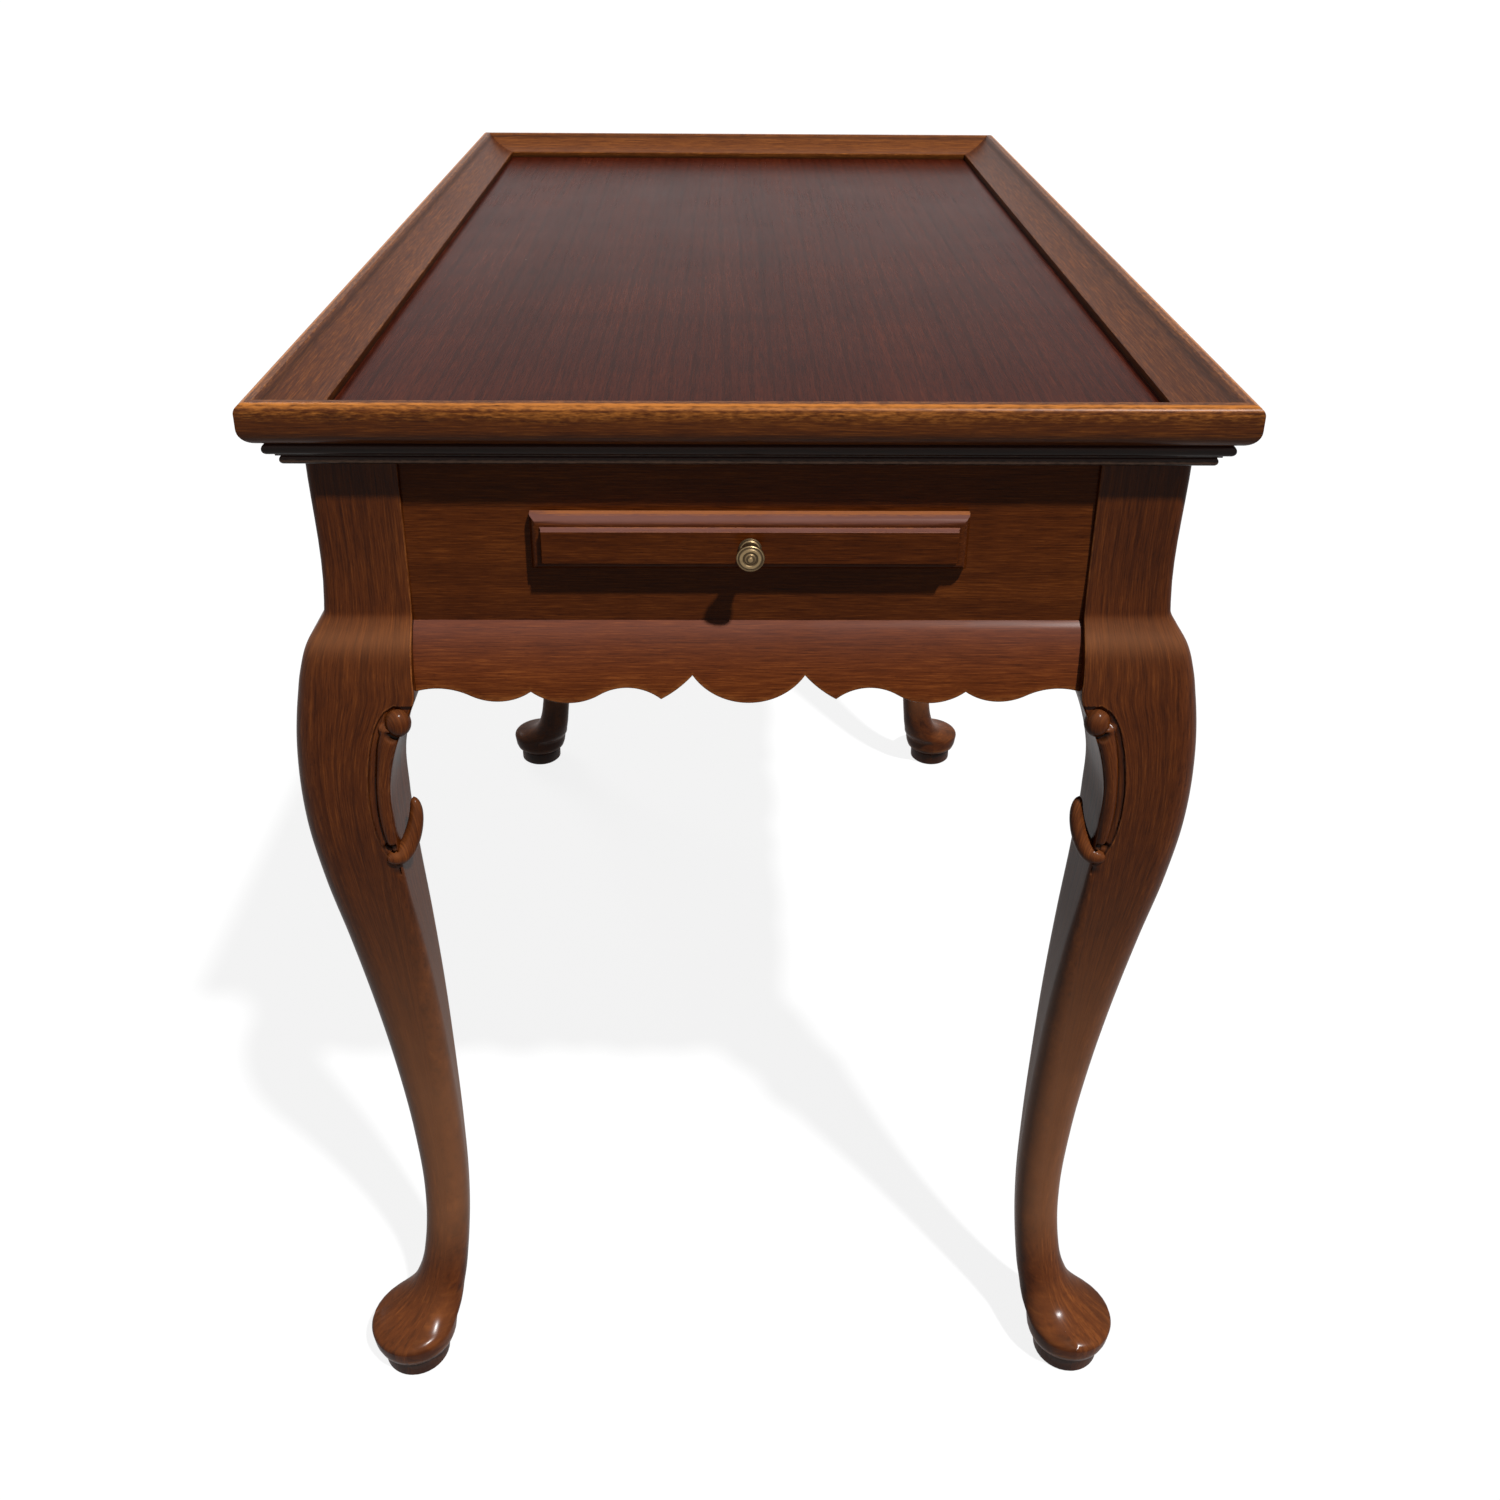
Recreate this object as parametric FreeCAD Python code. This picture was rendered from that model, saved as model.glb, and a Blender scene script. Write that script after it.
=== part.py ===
import FreeCAD, Part
import math
import os

# Tea table with a moulded tray top, cabriole legs and a candle slide at each end
# Millimetres. Z is up from the floor, X runs across the ends and Y along the length.
# Every size that can be set by itself stands here once; a name ending in share or shares is a part of another size.

# Whole table
top_width = 483.0
top_length = 778.0
table_height = 680.0

# Tray rim, four mitred mouldings
rim_height = 22.0
rim_width = 31.0
rim_lip_width = 8.0
rim_lip_round = 5.5
rim_under_round = 11.0
rim_step = 5.0
cove_sag = 1.6

# Top panel inside the rim
panel_recess = 18.0
panel_lap = 8.0

# Under-moulding below the rim, four mitred strips
cornice_height = 13.5
cornice_inset = 8.0
cornice_step_inset = 14.0
cornice_bead_height = 6.5
cornice_fillet = 1.5

# Legs
post_inset = 22.3
post_size = 46.0
post_height = 87.0
post_round = 6.0
arris_round = 0.9
knee_swell = 21.0
knee_height = 44.5
ankle_height = 125.0
ankle_size = 28.3
foot_radius = 28.0
foot_edge_height = 30.0
pad_wall_height = 13.0
pad_under_radius = 25.5
disc_radius = 21.0
disc_height = 12.5

# Carved scroll at each side edge of a knee
scroll_drop = 6.0
scroll_length = 87.0
scroll_bar_radius = 6.0
scroll_ball_radius = 6.2
scroll_ball_relief = 3.0
scroll_tongue_radius = 4.3

# Aprons and scalloped skirts
apron_recess = 3.0
apron_thickness = 20.0
apron_depth = 90.0
skirt_depth = 42.5
skirt_swell = 13.0
scallop_depth = 15.5

# Tenons and glue lines
joint_gap = 0.2
tenon_thickness = 9.5
tenon_length = 18.0
tenon_margin = 9.0
skirt_tenon_height = 18.0
skirt_tenon_margin = 6.0

# Candle slides
slide_drop = 43.0
face_width = 220.0
face_height = 30.0
face_thickness = 14.0
face_edge = 6.5
face_bevel = 5.5
face_round_share = 0.3
face_shoulder_share = 0.35
face_fillet_share = 0.15
board_width = 190.0
board_thickness = 12.0
board_end_gap = 18.7
board_tongue = 5.0
slide_travel_share = 0.7
running_gap = 0.3
stop_pin_size = 8.0
stop_pin_rise = 6.0
stop_pin_inset = 25.0

# Brass knob and its screw
knob_reach = 16.0
knob_radius = 6.7
knob_base_radius = 5.6
knob_base_thickness = 2.0
knob_neck_radius = 4.2
knob_rim_thickness = 3.0
knob_ring_width = 1.7
knob_ring_depth = 0.9
knob_screw_radius = 1.8
knob_screw_in_knob = 6.0
knob_screw_in_board = 8.0

# Inner framing
runner_width = 26.0
runner_height = 30.0
runner_groove = 7.0
runner_tenon = 6.0
runner_tenon_margin = 4.0
rail_width = 44.0
rail_thickness = 20.0
rail_tenon = 6.0
rail_tenon_margin = 5.0
spacer_width = 30.0
spacer_height = 21.0
corner_block_size = 74.0
corner_block_thickness = 24.0
cleat_size = 19.0
cleat_end_gap = 8.0

# Length by which every cutting solid passes the wood
overrun = 5.0

# Worked out from the sizes above
half_width = top_width / 2
half_length = top_length / 2
rim_bottom = table_height - rim_height
frame_top = rim_bottom - cornice_height
panel_top = table_height - panel_recess
lap_inset = rim_width - panel_lap
post_x = half_width - post_inset
post_y = half_length - post_inset
knee_top = frame_top - post_height
knee_base = knee_top - knee_height
apron_bottom = frame_top - apron_depth
skirt_bottom = apron_bottom - skirt_depth
slide_height = frame_top - slide_drop
span_x = post_x - post_size
span_y = post_y - post_size
apron_x = post_x - apron_recess
apron_y = post_y - apron_recess
inner_x = apron_x - apron_thickness
inner_y = apron_y - apron_thickness
board_reach = apron_y - spacer_width / 2 - board_end_gap
slide_travel = board_reach * slide_travel_share

up = FreeCAD.Vector(0, 0, 1)
origin = FreeCAD.Vector(0, 0, 0)


def vec(x, y, z=0):
    return FreeCAD.Vector(x, y, z)


def box(one, other):
    # a block between any two opposite corners
    low = vec(min(one.x, other.x), min(one.y, other.y), min(one.z, other.z))
    high = vec(max(one.x, other.x), max(one.y, other.y), max(one.z, other.z))
    size = high - low
    return Part.makeBox(size.x, size.y, size.z, low)


def prism(points, way):
    # a flat outline of straight sides, pushed along a way
    return Part.Face(Part.makePolygon(points + points[:1])).extrude(way)


def line(start, end):
    return Part.LineSegment(start, end).toShape()


def arc(start, middle, end):
    return Part.Arc(start, middle, end).toShape()


def quarter(start, end, corner):
    # a quarter round between the two sides of a corner
    middle = start + end - corner + (corner * 2 - start - end) * math.sqrt(0.5)
    return arc(start, middle, end)


def bead(start, end, outward):
    # a half round from start to end, standing out by half of their distance
    middle = (start + end) * 0.5 + outward * (start.distanceToPoint(end) / 2)
    return arc(start, middle, end)


def shallow(start, end, sink):
    # an arc from start to end whose middle is moved by a small vector
    return arc(start, (start + end) * 0.5 + sink, end)


# The four sides of the table

class Side:
    # along runs with the side, out points away from the table's middle
    def __init__(self, name, out, along, edge, half_edge, face, half_span):
        self.name = name
        self.out = out
        self.along = along
        self.edge = edge
        self.half_edge = half_edge
        self.face = face
        self.half_span = half_span

    def at(self, along, out, height):
        return self.along * along + self.out * out + up * height


sides = (
    Side("front", vec(0, -1), vec(1, 0), half_length, half_width, apron_y, span_x),
    Side("back", vec(0, 1), vec(-1, 0), half_length, half_width, apron_y, span_x),
    Side("left", vec(-1, 0), vec(0, -1), half_width, half_length, apron_x, span_y),
    Side("right", vec(1, 0), vec(0, 1), half_width, half_length, apron_x, span_y),
)
end_sides = sides[:2]
long_sides = sides[2:]


# Mouldings of the top, drawn as inset from the outer edge and height

def rim_outline(at):
    # bullnose outside, flat lip, wide cove falling to the panel's edge
    side_top = table_height - rim_lip_round
    side_foot = rim_bottom + rim_under_round
    lip = at(rim_lip_width, table_height)
    inner = at(rim_width, panel_top + rim_step)
    return [
        line(at(rim_under_round, rim_bottom), at(rim_width, rim_bottom)),
        line(at(rim_width, rim_bottom), inner),
        shallow(inner, lip, up * -cove_sag),
        line(lip, at(rim_lip_round, table_height)),
        quarter(at(rim_lip_round, table_height), at(0, side_top), at(0, table_height)),
        line(at(0, side_top), at(0, side_foot)),
        quarter(at(0, side_foot), at(rim_under_round, rim_bottom), at(0, rim_bottom)),
    ]


def cornice_outline(at):
    # round bead above, thin fillet, round-nosed step below
    bead_foot = rim_bottom - cornice_bead_height
    bead_back = cornice_inset + cornice_bead_height / 2
    fillet_back = bead_back + cornice_fillet
    step_top = bead_foot - cornice_fillet
    step_back = cornice_step_inset + (step_top - frame_top) / 2
    out = at(0, 0) - at(1, 0)
    return [
        line(at(lap_inset, rim_bottom), at(bead_back, rim_bottom)),
        bead(at(bead_back, rim_bottom), at(bead_back, bead_foot), out),
        line(at(bead_back, bead_foot), at(fillet_back, bead_foot)),
        line(at(fillet_back, bead_foot), at(fillet_back, step_top)),
        line(at(fillet_back, step_top), at(step_back, step_top)),
        bead(at(step_back, step_top), at(step_back, frame_top), out),
        line(at(step_back, frame_top), at(lap_inset, frame_top)),
        line(at(lap_inset, frame_top), at(lap_inset, rim_bottom)),
    ]


def mitred(side, outline, depth):
    # the outline carried along one side of the top and cut at 45 degrees at both ends
    edges = outline(lambda inset, height: side.at(-side.half_edge, side.edge - inset, height))
    moulding = Part.Face(Part.Wire(edges)).extrude(side.along * (side.half_edge * 2))
    corners = [
        side.at(-side.half_edge, side.edge, 0),
        side.at(side.half_edge, side.edge, 0),
        side.at(side.half_edge - depth, side.edge - depth, 0),
        side.at(depth - side.half_edge, side.edge - depth, 0),
    ]
    return moulding.common(prism(corners, up * table_height))


def rim(side):
    return mitred(side, rim_outline, rim_width)


def cornice(side):
    return mitred(side, cornice_outline, lap_inset)


def plate(inset, bottom, top):
    # a full-size board of the top, inset all round
    corner = vec(half_width - inset, half_length - inset)
    return box(up * bottom - corner, up * top + corner)


def top_panel():
    # the raised field fills the rim, and a lower lap runs under it
    panel = plate(rim_width, rim_bottom, panel_top).fuse(plate(lap_inset, frame_top, rim_bottom))
    return panel.removeSplitter()


# Cabriole legs, drawn with the post's outer corner on the Z axis and the leg towards minus X and Y

# Each row: height within its stretch, stand-out of the two outer faces as a share of the knee's swell, depth of the
# two inner faces as a share of the post, and rounding of the outer, the two side and the inner corner as shares of
# the section's width
knee_shares = (
    (1.0, 0.0, 1.0, post_round / post_size, arris_round / post_size, arris_round / post_size),
    (0.72, 0.4, 1.0, 0.16, 0.02, 0.06),
    (0.36, 0.65, 1.0, 0.19, 0.022, 0.09),
)
shank_shares = (
    (1.0, 0.81, 1.0, 0.21, 0.025, 0.11),
    (0.954, 0.92, 0.84, 0.25, 0.035, 0.13),
    (0.89, 1.0, 0.68, 0.29, 0.05, 0.16),
    (0.812, 0.985, 0.65, 0.3, 0.06, 0.19),
    (0.709, 0.81, 0.69, 0.32, 0.1, 0.21),
    (0.58, 0.45, 0.76, 0.35, 0.17, 0.27),
    (0.438, 0.09, 0.81, 0.39, 0.24, 0.32),
    (0.296, -0.2, 0.84, 0.42, 0.32, 0.36),
    (0.142, -0.43, 0.861, 0.45, 0.4, 0.42),
)
ankle_place_share = 0.853
# Each row: height between the pad's edge and the ankle, place and width as shares of the way from foot to ankle
foot_shares = (
    (1.0, 1.0, 1.0),
    (0.737, 0.956, 1.01),
    (0.526, 0.878, 0.993),
    (0.379, 0.804, 0.96),
    (0.253, 0.702, 0.87),
    (0.168, 0.588, 0.773),
    (0.105, 0.46, 0.61),
    (0.053, 0.27, 0.3),
    (0.0, 0.0, 0.0),
)
round_share = 0.49
# Straight strokes in which a carved rounding and a turned round are drawn
corner_strokes = 3
turning_strokes = 28


def rounded_square(middle, size, round_shares, height):
    # corners in turn: outer, side, inner, side, each rounding drawn in a few straight strokes
    reach = size / 2
    turns = ((1, 1), (-1, 1), (-1, -1), (1, -1))
    points = []
    for index, (x, y) in enumerate(turns):
        corner = vec(middle + reach * x, middle + reach * y, height)
        before = vec(*turns[index - 1]) - vec(x, y)
        after = vec(*turns[(index + 1) % len(turns)]) - vec(x, y)
        radius = reach * round_shares[index]
        centre = corner + (before + after) * radius
        for stroke in range(corner_strokes + 1):
            turn = math.pi / 2 * stroke / corner_strokes
            points.append(centre - after * radius * math.cos(turn) - before * radius * math.sin(turn))
    return Part.makePolygon(points + points[:1])


def straight_loft(sections):
    # a closed body of flat three-cornered faces between sections with equal numbers of corners
    rows = [[vertex.Point for vertex in section.OrderedVertexes] for section in sections]
    faces = [Part.Face(sections[0]), Part.Face(sections[-1])]
    for low, high in zip(rows, rows[1:]):
        for index, corner in enumerate(low):
            before = low[index - 1]
            faces.append(Part.Face(Part.makePolygon([before, corner, high[index], before])))
            faces.append(Part.Face(Part.makePolygon([before, high[index], high[index - 1], before])))
    shell = Part.makeShell(faces)
    shell.sewShape()
    return Part.makeSolid(shell)


def ring(middle, across, outward, radius, sides):
    # an even polygon round a point
    points = []
    for index in range(sides):
        turn = math.pi * 2 * index / sides
        points.append(middle + (across * math.cos(turn) + outward * math.sin(turn)) * radius)
    return Part.makePolygon(points + points[:1])


def turned(foot, way, across, rows):
    # a turned form; each row: radius and place along the way
    outward = way.cross(across)
    return straight_loft([ring(foot + way * place, across, outward, radius, turning_strokes) for radius, place in rows])


def leg_section(stretch_foot, stretch_height, row):
    height_share, swell_share, depth_share, corner_share, side_share, inner_share = row
    outer = knee_swell * swell_share
    size = outer + post_size * depth_share
    shares = (corner_share, side_share, inner_share, side_share)
    return rounded_square(outer - size / 2, size, shares, stretch_foot + stretch_height * height_share)


def foot_section(row):
    height_share, place_share, size_share = row
    foot_size = foot_radius * 2
    size = foot_size + (ankle_size - foot_size) * size_share
    middle = (ankle_size / 2 - post_size * ankle_place_share) * place_share
    height = foot_edge_height + (ankle_height - foot_edge_height) * height_share
    return rounded_square(middle, size, [round_share] * 4, height)


def pad():
    # drawn-in pad standing on a smaller disc
    rows = (
        (disc_radius, 0),
        (disc_radius, disc_height),
        (pad_under_radius, foot_edge_height - pad_wall_height),
        (foot_radius, foot_edge_height),
    )
    return turned(origin, up, vec(1, 0), rows)


def stand_out(height):
    # of the knee's outer faces at a height of the shank
    rows = [(ankle_height + (knee_base - ankle_height) * row[0], knee_swell * row[1]) for row in shank_shares]
    for (high, out_high), (low, out_low) in zip(rows, rows[1:]):
        if height >= low:
            return out_low + (out_high - out_low) * (height - low) / (high - low)
    return rows[-1][1]


# Scroll on the outer face towards plus Y: a bar, a ball at its head and a tongue at its foot, each drawn in flat
# strokes along a line or an arc. Each row: height along the scroll, distance from the post's outer corner as a share
# of the post, and how deep the middle of the round lies below the face as a share of the post
bar_shares = ((0.95, 0.674, 0.09), (0.483, 0.557, 0.087), (0.0, 0.575, 0.1))
tongue_shares = ((0.0, 0.58, 0.06), (0.13, 0.78, 0.14), (0.31, 0.87, 0.25))
ball_height_share = 1.0
ball_side_share = 0.807
# Each row: place along the line, thickness as a share of the fullest
rod_shares = ((0.0, 0.4), (0.08, 0.85), (0.35, 1.0), (0.65, 1.0), (0.92, 0.85), (1.0, 0.4))
ball_shares = ((0.04, 0.38), (0.3, 0.92), (0.7, 0.92), (0.96, 0.38))
rod_sides = 6


def scroll_point(height_share, side_share, depth):
    height = knee_base - scroll_drop - scroll_length * (1 - height_share)
    return vec(-post_size * side_share, stand_out(height) - depth, height)


def rod(path, shares, radius):
    # a round bar along a line or an arc, thinner towards its ends
    sections = []
    first, last = path.ParameterRange
    for place_share, size_share in shares:
        place = first + (last - first) * place_share
        way = path.tangentAt(place)
        across = way.cross(vec(0, 1)).normalize()
        sections.append(ring(path.valueAt(place), across, across.cross(way), radius * size_share, rod_sides))
    return straight_loft(sections)


def carved_arc(rows):
    return arc(*[scroll_point(height, side, post_size * depth) for height, side, depth in rows])


def scroll():
    middle = scroll_point(ball_height_share, ball_side_share, scroll_ball_radius - scroll_ball_relief)
    ball_line = line(middle - up * scroll_ball_radius, middle + up * scroll_ball_radius)
    return [
        rod(carved_arc(bar_shares), rod_shares, scroll_bar_radius),
        rod(carved_arc(tongue_shares), rod_shares, scroll_tongue_radius),
        rod(ball_line, ball_shares, scroll_ball_radius),
    ]


def plain_leg():
    # post, knee, shank and foot, with a scroll on each outer face
    shank_height = knee_base - ankle_height
    sections = [leg_section(knee_base, knee_height, row) for row in knee_shares]
    sections += [leg_section(ankle_height, shank_height, row) for row in shank_shares]
    sections += [foot_section(row) for row in foot_shares]
    post = Part.Face(sections[0]).extrude(up * post_height)
    carving = scroll()
    mirrored = [piece.mirror(origin, vec(1, -1)) for piece in carving]
    return post.fuse([straight_loft(sections), pad()] + carving + mirrored).removeSplitter()


def leg(plain, way_x, way_y):
    # the leg turned to its corner, with its mortises
    shape = plain.copy()
    if way_x < 0:
        shape = shape.mirror(origin, vec(1, 0))
    if way_y < 0:
        shape = shape.mirror(origin, vec(0, 1))
    shape.translate(vec(way_x * post_x, way_y * post_y))
    end_side = end_sides[0] if way_y < 0 else end_sides[1]
    long_side = long_sides[0] if way_x < 0 else long_sides[1]
    for side in (end_side, long_side):
        for end in (-1, 1):
            for low, high in tenon_heights():
                shape = shape.cut(tenon(side, end, low, high, joint_gap))
    return shape


# Aprons and skirts between the posts

def tenon_heights():
    apron = (apron_bottom + tenon_margin, frame_top - tenon_margin)
    skirt_top = apron_bottom - skirt_tenon_margin
    return apron, (skirt_top - skirt_tenon_height, skirt_top)


def tenon(side, end, low, high, gap):
    # one end's tenon, or with a gap the mortise for it
    middle = side.face - apron_thickness / 2
    half = tenon_thickness / 2 + gap
    start = (side.half_span - gap) * end
    stop = (side.half_span + tenon_length + gap) * end
    return box(side.at(start, middle - half, low - gap), side.at(stop, middle + half, high + gap))


def with_tenons(shape, side, heights):
    tenons = [tenon(side, end, heights[0], heights[1], 0) for end in (-1, 1)]
    return shape.fuse(tenons).removeSplitter()


def apron(side):
    back = side.face - apron_thickness
    board = box(side.at(-side.half_span, back, apron_bottom), side.at(side.half_span, side.face, frame_top))
    board = with_tenons(board, side, tenon_heights()[0])
    if side in end_sides:
        return board.cut([slide_slot(side)] + [runner_end(side, hand, joint_gap) for hand in (-1, 1)])
    return board.cut(rail_end(side, joint_gap))


# Lower edge of a skirt from its middle outwards, as runs of smooth arcs that meet in points. Each row: place along
# half of the skirt, height as a share of the scallops' depth
lobe_share = 0.169
flank_shares = ((lobe_share, 1.0), (0.213, 0.53), (0.264, 0.14))
inner_scallop_shares = ((0.264, 0.14), (0.345, 0.54), (0.45, 0.29), (0.655, 0.41))
outer_scallop_shares = ((0.655, 0.41), (0.742, 0.05), (0.837, 0.26), (1.0, 0.42))
# Each row: height as a share of the skirt's depth, stand-out as a share of its swell
skirt_face_shares = ((1.0, 0.0), (0.5, 0.79), (0.0, 1.0))


def smooth_run(points):
    # an arc through the first three points, and one that leaves it smoothly for a fourth
    edges = [arc(*points[:3])]
    for end in points[3:]:
        way = edges[-1].tangentAt(edges[-1].LastParameter)
        start = points[2]
        chord = end - start
        side = chord - way * chord.dot(way)
        radius = chord.dot(chord) / (2 * side.Length)
        centre = start + side.normalize() * radius
        middle = centre + ((start + end) * 0.5 - centre).normalize() * radius
        edges.append(arc(start, middle, end))
    return edges


def scalloped_edge(side, hand):
    # one half of the lower edge, from the middle lobe to the post
    def at(row):
        return side.at(side.half_span * row[0] * hand, 0, skirt_bottom + scallop_depth * row[1])

    edges = []
    for shares in (flank_shares, inner_scallop_shares, outer_scallop_shares):
        edges += smooth_run([at(row) for row in shares])
    return edges, at(flank_shares[0]), at(outer_scallop_shares[-1])


def skirt(side):
    # front view pushed through the wood, kept where it lies within the swelled cross-section
    left, left_cusp, left_end = scalloped_edge(side, -1)
    right, right_cusp, right_end = scalloped_edge(side, 1)
    lobe = arc(left_cusp, side.at(0, 0, skirt_bottom), right_cusp)
    left_top = side.at(-side.half_span, 0, apron_bottom)
    right_top = side.at(side.half_span, 0, apron_bottom)
    border = [line(left_end, left_top), line(left_top, right_top), line(right_top, right_end)]
    view = Part.Wire(Part.sortEdges(left + right + [lobe] + border)[0])
    view = Part.Face(view).extrude(side.out * (side.face + skirt_swell + overrun))
    return with_tenons(view.common(skirt_section(side)), side, tenon_heights()[1])


def skirt_section(side):
    # flat back, swelled front
    def at(out, height_share):
        return side.at(-side.half_span, out, skirt_bottom + skirt_depth * height_share)

    back = side.face - apron_thickness
    swell = [at(side.face + skirt_swell * out, height) for height, out in skirt_face_shares]
    edges = [arc(*swell), line(swell[-1], at(back, 0)), line(at(back, 0), at(back, 1)), line(at(back, 1), swell[0])]
    return Part.Face(Part.Wire(edges)).extrude(side.along * (side.half_span * 2))


# Candle slides, one in each end apron

def slide_slot(side):
    half = board_width / 2 + running_gap
    rise = board_thickness / 2 + running_gap
    back = side.face - apron_thickness - overrun
    return box(side.at(-half, back, slide_height - rise), side.at(half, side.face + overrun, slide_height + rise))


def stop_pin_places(side):
    # the pins meet the apron's back when the slide is out by its travel
    out = side.face - apron_thickness - slide_travel - stop_pin_size / 2 - running_gap
    along = board_width / 2 - stop_pin_inset
    return [(hand * along, out) for hand in (-1, 1)]


def stop_pin(side, along, out, length, gap):
    # a square peg through the board, or with a gap its hole
    half = stop_pin_size / 2 + gap
    foot = slide_height - board_thickness / 2
    return box(side.at(along - half, out - half, foot), side.at(along + half, out + half, foot + length))


def slide_board(side):
    half = board_width / 2
    rise = board_thickness / 2
    start = side.face + running_gap + board_tongue
    stop = side.face - board_reach
    board = box(side.at(-half, start, slide_height - rise), side.at(half, stop, slide_height + rise))
    for along, out in stop_pin_places(side):
        board = board.cut(stop_pin(side, along, out, board_thickness + overrun, joint_gap))
    return board.cut(knob_screw(side, joint_gap))


def slide_stop_pins(side):
    length = board_thickness + stop_pin_rise
    return Part.makeCompound([stop_pin(side, along, out, length, 0) for along, out in stop_pin_places(side)])


def face_profile(half, at):
    # section of the moulded front: square edge, small round, cove and flat field, alike at both edges
    edges = []
    for hand in (-1, 1):
        def near(inset_share, rise_share):
            rise = face_edge + (face_thickness - face_edge) * rise_share
            return at((half - face_bevel * inset_share) * hand, rise)

        back = at(half * hand, 0)
        edge = near(0, 0)
        shoulder = near(face_shoulder_share, face_round_share)
        fillet = near(1, 1 - face_fillet_share)
        edges.append(line(back, edge))
        edges.append(quarter(edge, shoulder, near(0, face_round_share)))
        edges.append(quarter(shoulder, fillet, near(1, face_round_share)))
        edges.append(line(fillet, near(1, 1)))
    edges.append(line(at(-half, 0), at(half, 0)))
    edges.append(line(at(face_bevel - half, face_thickness), at(half - face_bevel, face_thickness)))
    return Part.Face(Part.Wire(Part.sortEdges(edges)[0]))


def slide_face(side):
    # the same moulded edge runs round all four sides and meets in mitres
    back = side.face + running_gap
    wide = face_profile(face_width / 2, lambda along, out: side.at(along, back + out, slide_height - face_height))
    tall = face_profile(face_height / 2, lambda high, out: side.at(-face_width, back + out, slide_height + high))
    shape = wide.extrude(up * (face_height * 2)).common(tall.extrude(side.along * (face_width * 2)))
    half = board_width / 2 + joint_gap
    rise = board_thickness / 2 + joint_gap
    depth = back + board_tongue + joint_gap
    groove = box(side.at(-half, back - overrun, slide_height - rise), side.at(half, depth, slide_height + rise))
    return shape.cut([groove, knob_screw(side, joint_gap)])


def knob_foot(side):
    return side.at(0, side.face + running_gap + face_thickness, slide_height)


def knob(side):
    # turned knob: flat base, narrow neck, and a face with a raised ring
    face = knob_reach - knob_ring_depth
    rim_foot = face - knob_rim_thickness
    ring_radius = knob_radius - knob_ring_width
    rows = (
        (knob_base_radius, 0),
        (knob_base_radius, knob_base_thickness),
        (knob_neck_radius, knob_base_thickness),
        (knob_neck_radius, rim_foot),
        (knob_radius, rim_foot),
        (knob_radius, face),
        (ring_radius, face),
        (ring_radius - knob_ring_width / 2, knob_reach),
        (ring_radius - knob_ring_width, face),
    )
    return turned(knob_foot(side), side.out, up, rows).cut(knob_screw(side, joint_gap))


def knob_screw(side, gap):
    # a headless screw held in the knob, the slide's front and the end of its board
    inner = face_thickness - board_tongue + knob_screw_in_board + gap
    start = knob_foot(side) - side.out * inner
    return cylinder(knob_screw_radius + gap, inner + knob_screw_in_knob + gap, start, side.out)


# Inner framing

def runner_top():
    return slide_height + runner_height / 2


def runner_end(side, hand, gap):
    # stub tenon of a runner in an end apron's back, beside the slide's slot, or with a gap its mortise
    back = side.face - apron_thickness
    near = board_width / 2 + running_gap + runner_tenon_margin - gap
    far = board_width / 2 - runner_groove + runner_width - runner_tenon_margin + gap
    rise = runner_height / 2 - runner_tenon_margin + gap
    start = side.at(near * hand, back - gap, slide_height - rise)
    return box(start, side.at(far * hand, back + runner_tenon + gap, slide_height + rise))


def runner(hand):
    # grooved bar from end apron to end apron, in which the edges of both boards run
    inner = board_width / 2 - runner_groove
    low = slide_height - runner_height / 2
    bar = box(vec(inner * hand, -inner_y, low), vec((inner + runner_width) * hand, inner_y, runner_top()))
    rise = board_thickness / 2 + running_gap
    edge = board_width / 2 + running_gap
    near = (inner - overrun) * hand
    groove = box(
        vec(near, -inner_y - overrun, slide_height - rise), vec(edge * hand, inner_y + overrun, slide_height + rise)
    )
    ends = [runner_end(side, hand * side.along.x, 0) for side in end_sides]
    return bar.fuse(ends).removeSplitter().cut(groove)


def rail_end(side, gap):
    # stub tenon of the cross rail in a long apron's back
    top = slide_height - runner_height / 2
    back = side.face - apron_thickness
    half = rail_width / 2 - rail_tenon_margin + gap
    low = top - rail_thickness + rail_tenon_margin - gap
    high = top - rail_tenon_margin + gap
    return box(side.at(-half, back - gap, low), side.at(half, back + rail_tenon + gap, high))


def cross_rail():
    # carries the runners at the middle of the table
    top = slide_height - runner_height / 2
    rail = box(vec(-inner_x, -rail_width / 2, top - rail_thickness), vec(inner_x, rail_width / 2, top))
    return rail.fuse([rail_end(side, 0) for side in long_sides]).removeSplitter()


def runner_spacer():
    # keeps the two runners apart and stands on the cross rail
    low = slide_height - runner_height / 2
    half = board_width / 2 - runner_groove
    return box(vec(-half, -spacer_width / 2, low), vec(half, spacer_width / 2, low + spacer_height))


def corner_block(way_x, way_y):
    # three-cornered block notched round the post, glued to both aprons
    outline = [
        (inner_x - corner_block_size, inner_y),
        (span_x, inner_y),
        (span_x, span_y),
        (inner_x, span_y),
        (inner_x, inner_y - corner_block_size),
    ]
    foot = frame_top - corner_block_thickness
    return prism([vec(x * way_x, y * way_y, foot) for x, y in outline], up * corner_block_thickness)


def cleat(side):
    # square batten behind an apron's upper edge, under the top
    reach = inner_x if side in end_sides else inner_y
    half = reach - corner_block_size - cleat_end_gap
    back = side.face - apron_thickness
    return box(side.at(-half, back - cleat_size, frame_top - cleat_size), side.at(half, back, frame_top))


def corners():
    return [(way_x, way_y) for way_y in (-1, 1) for way_x in (-1, 1)]


def cylinder(radius, length, foot, way):
    return Part.makeCylinder(radius, length, foot, way)


# Every piece with its name

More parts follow.
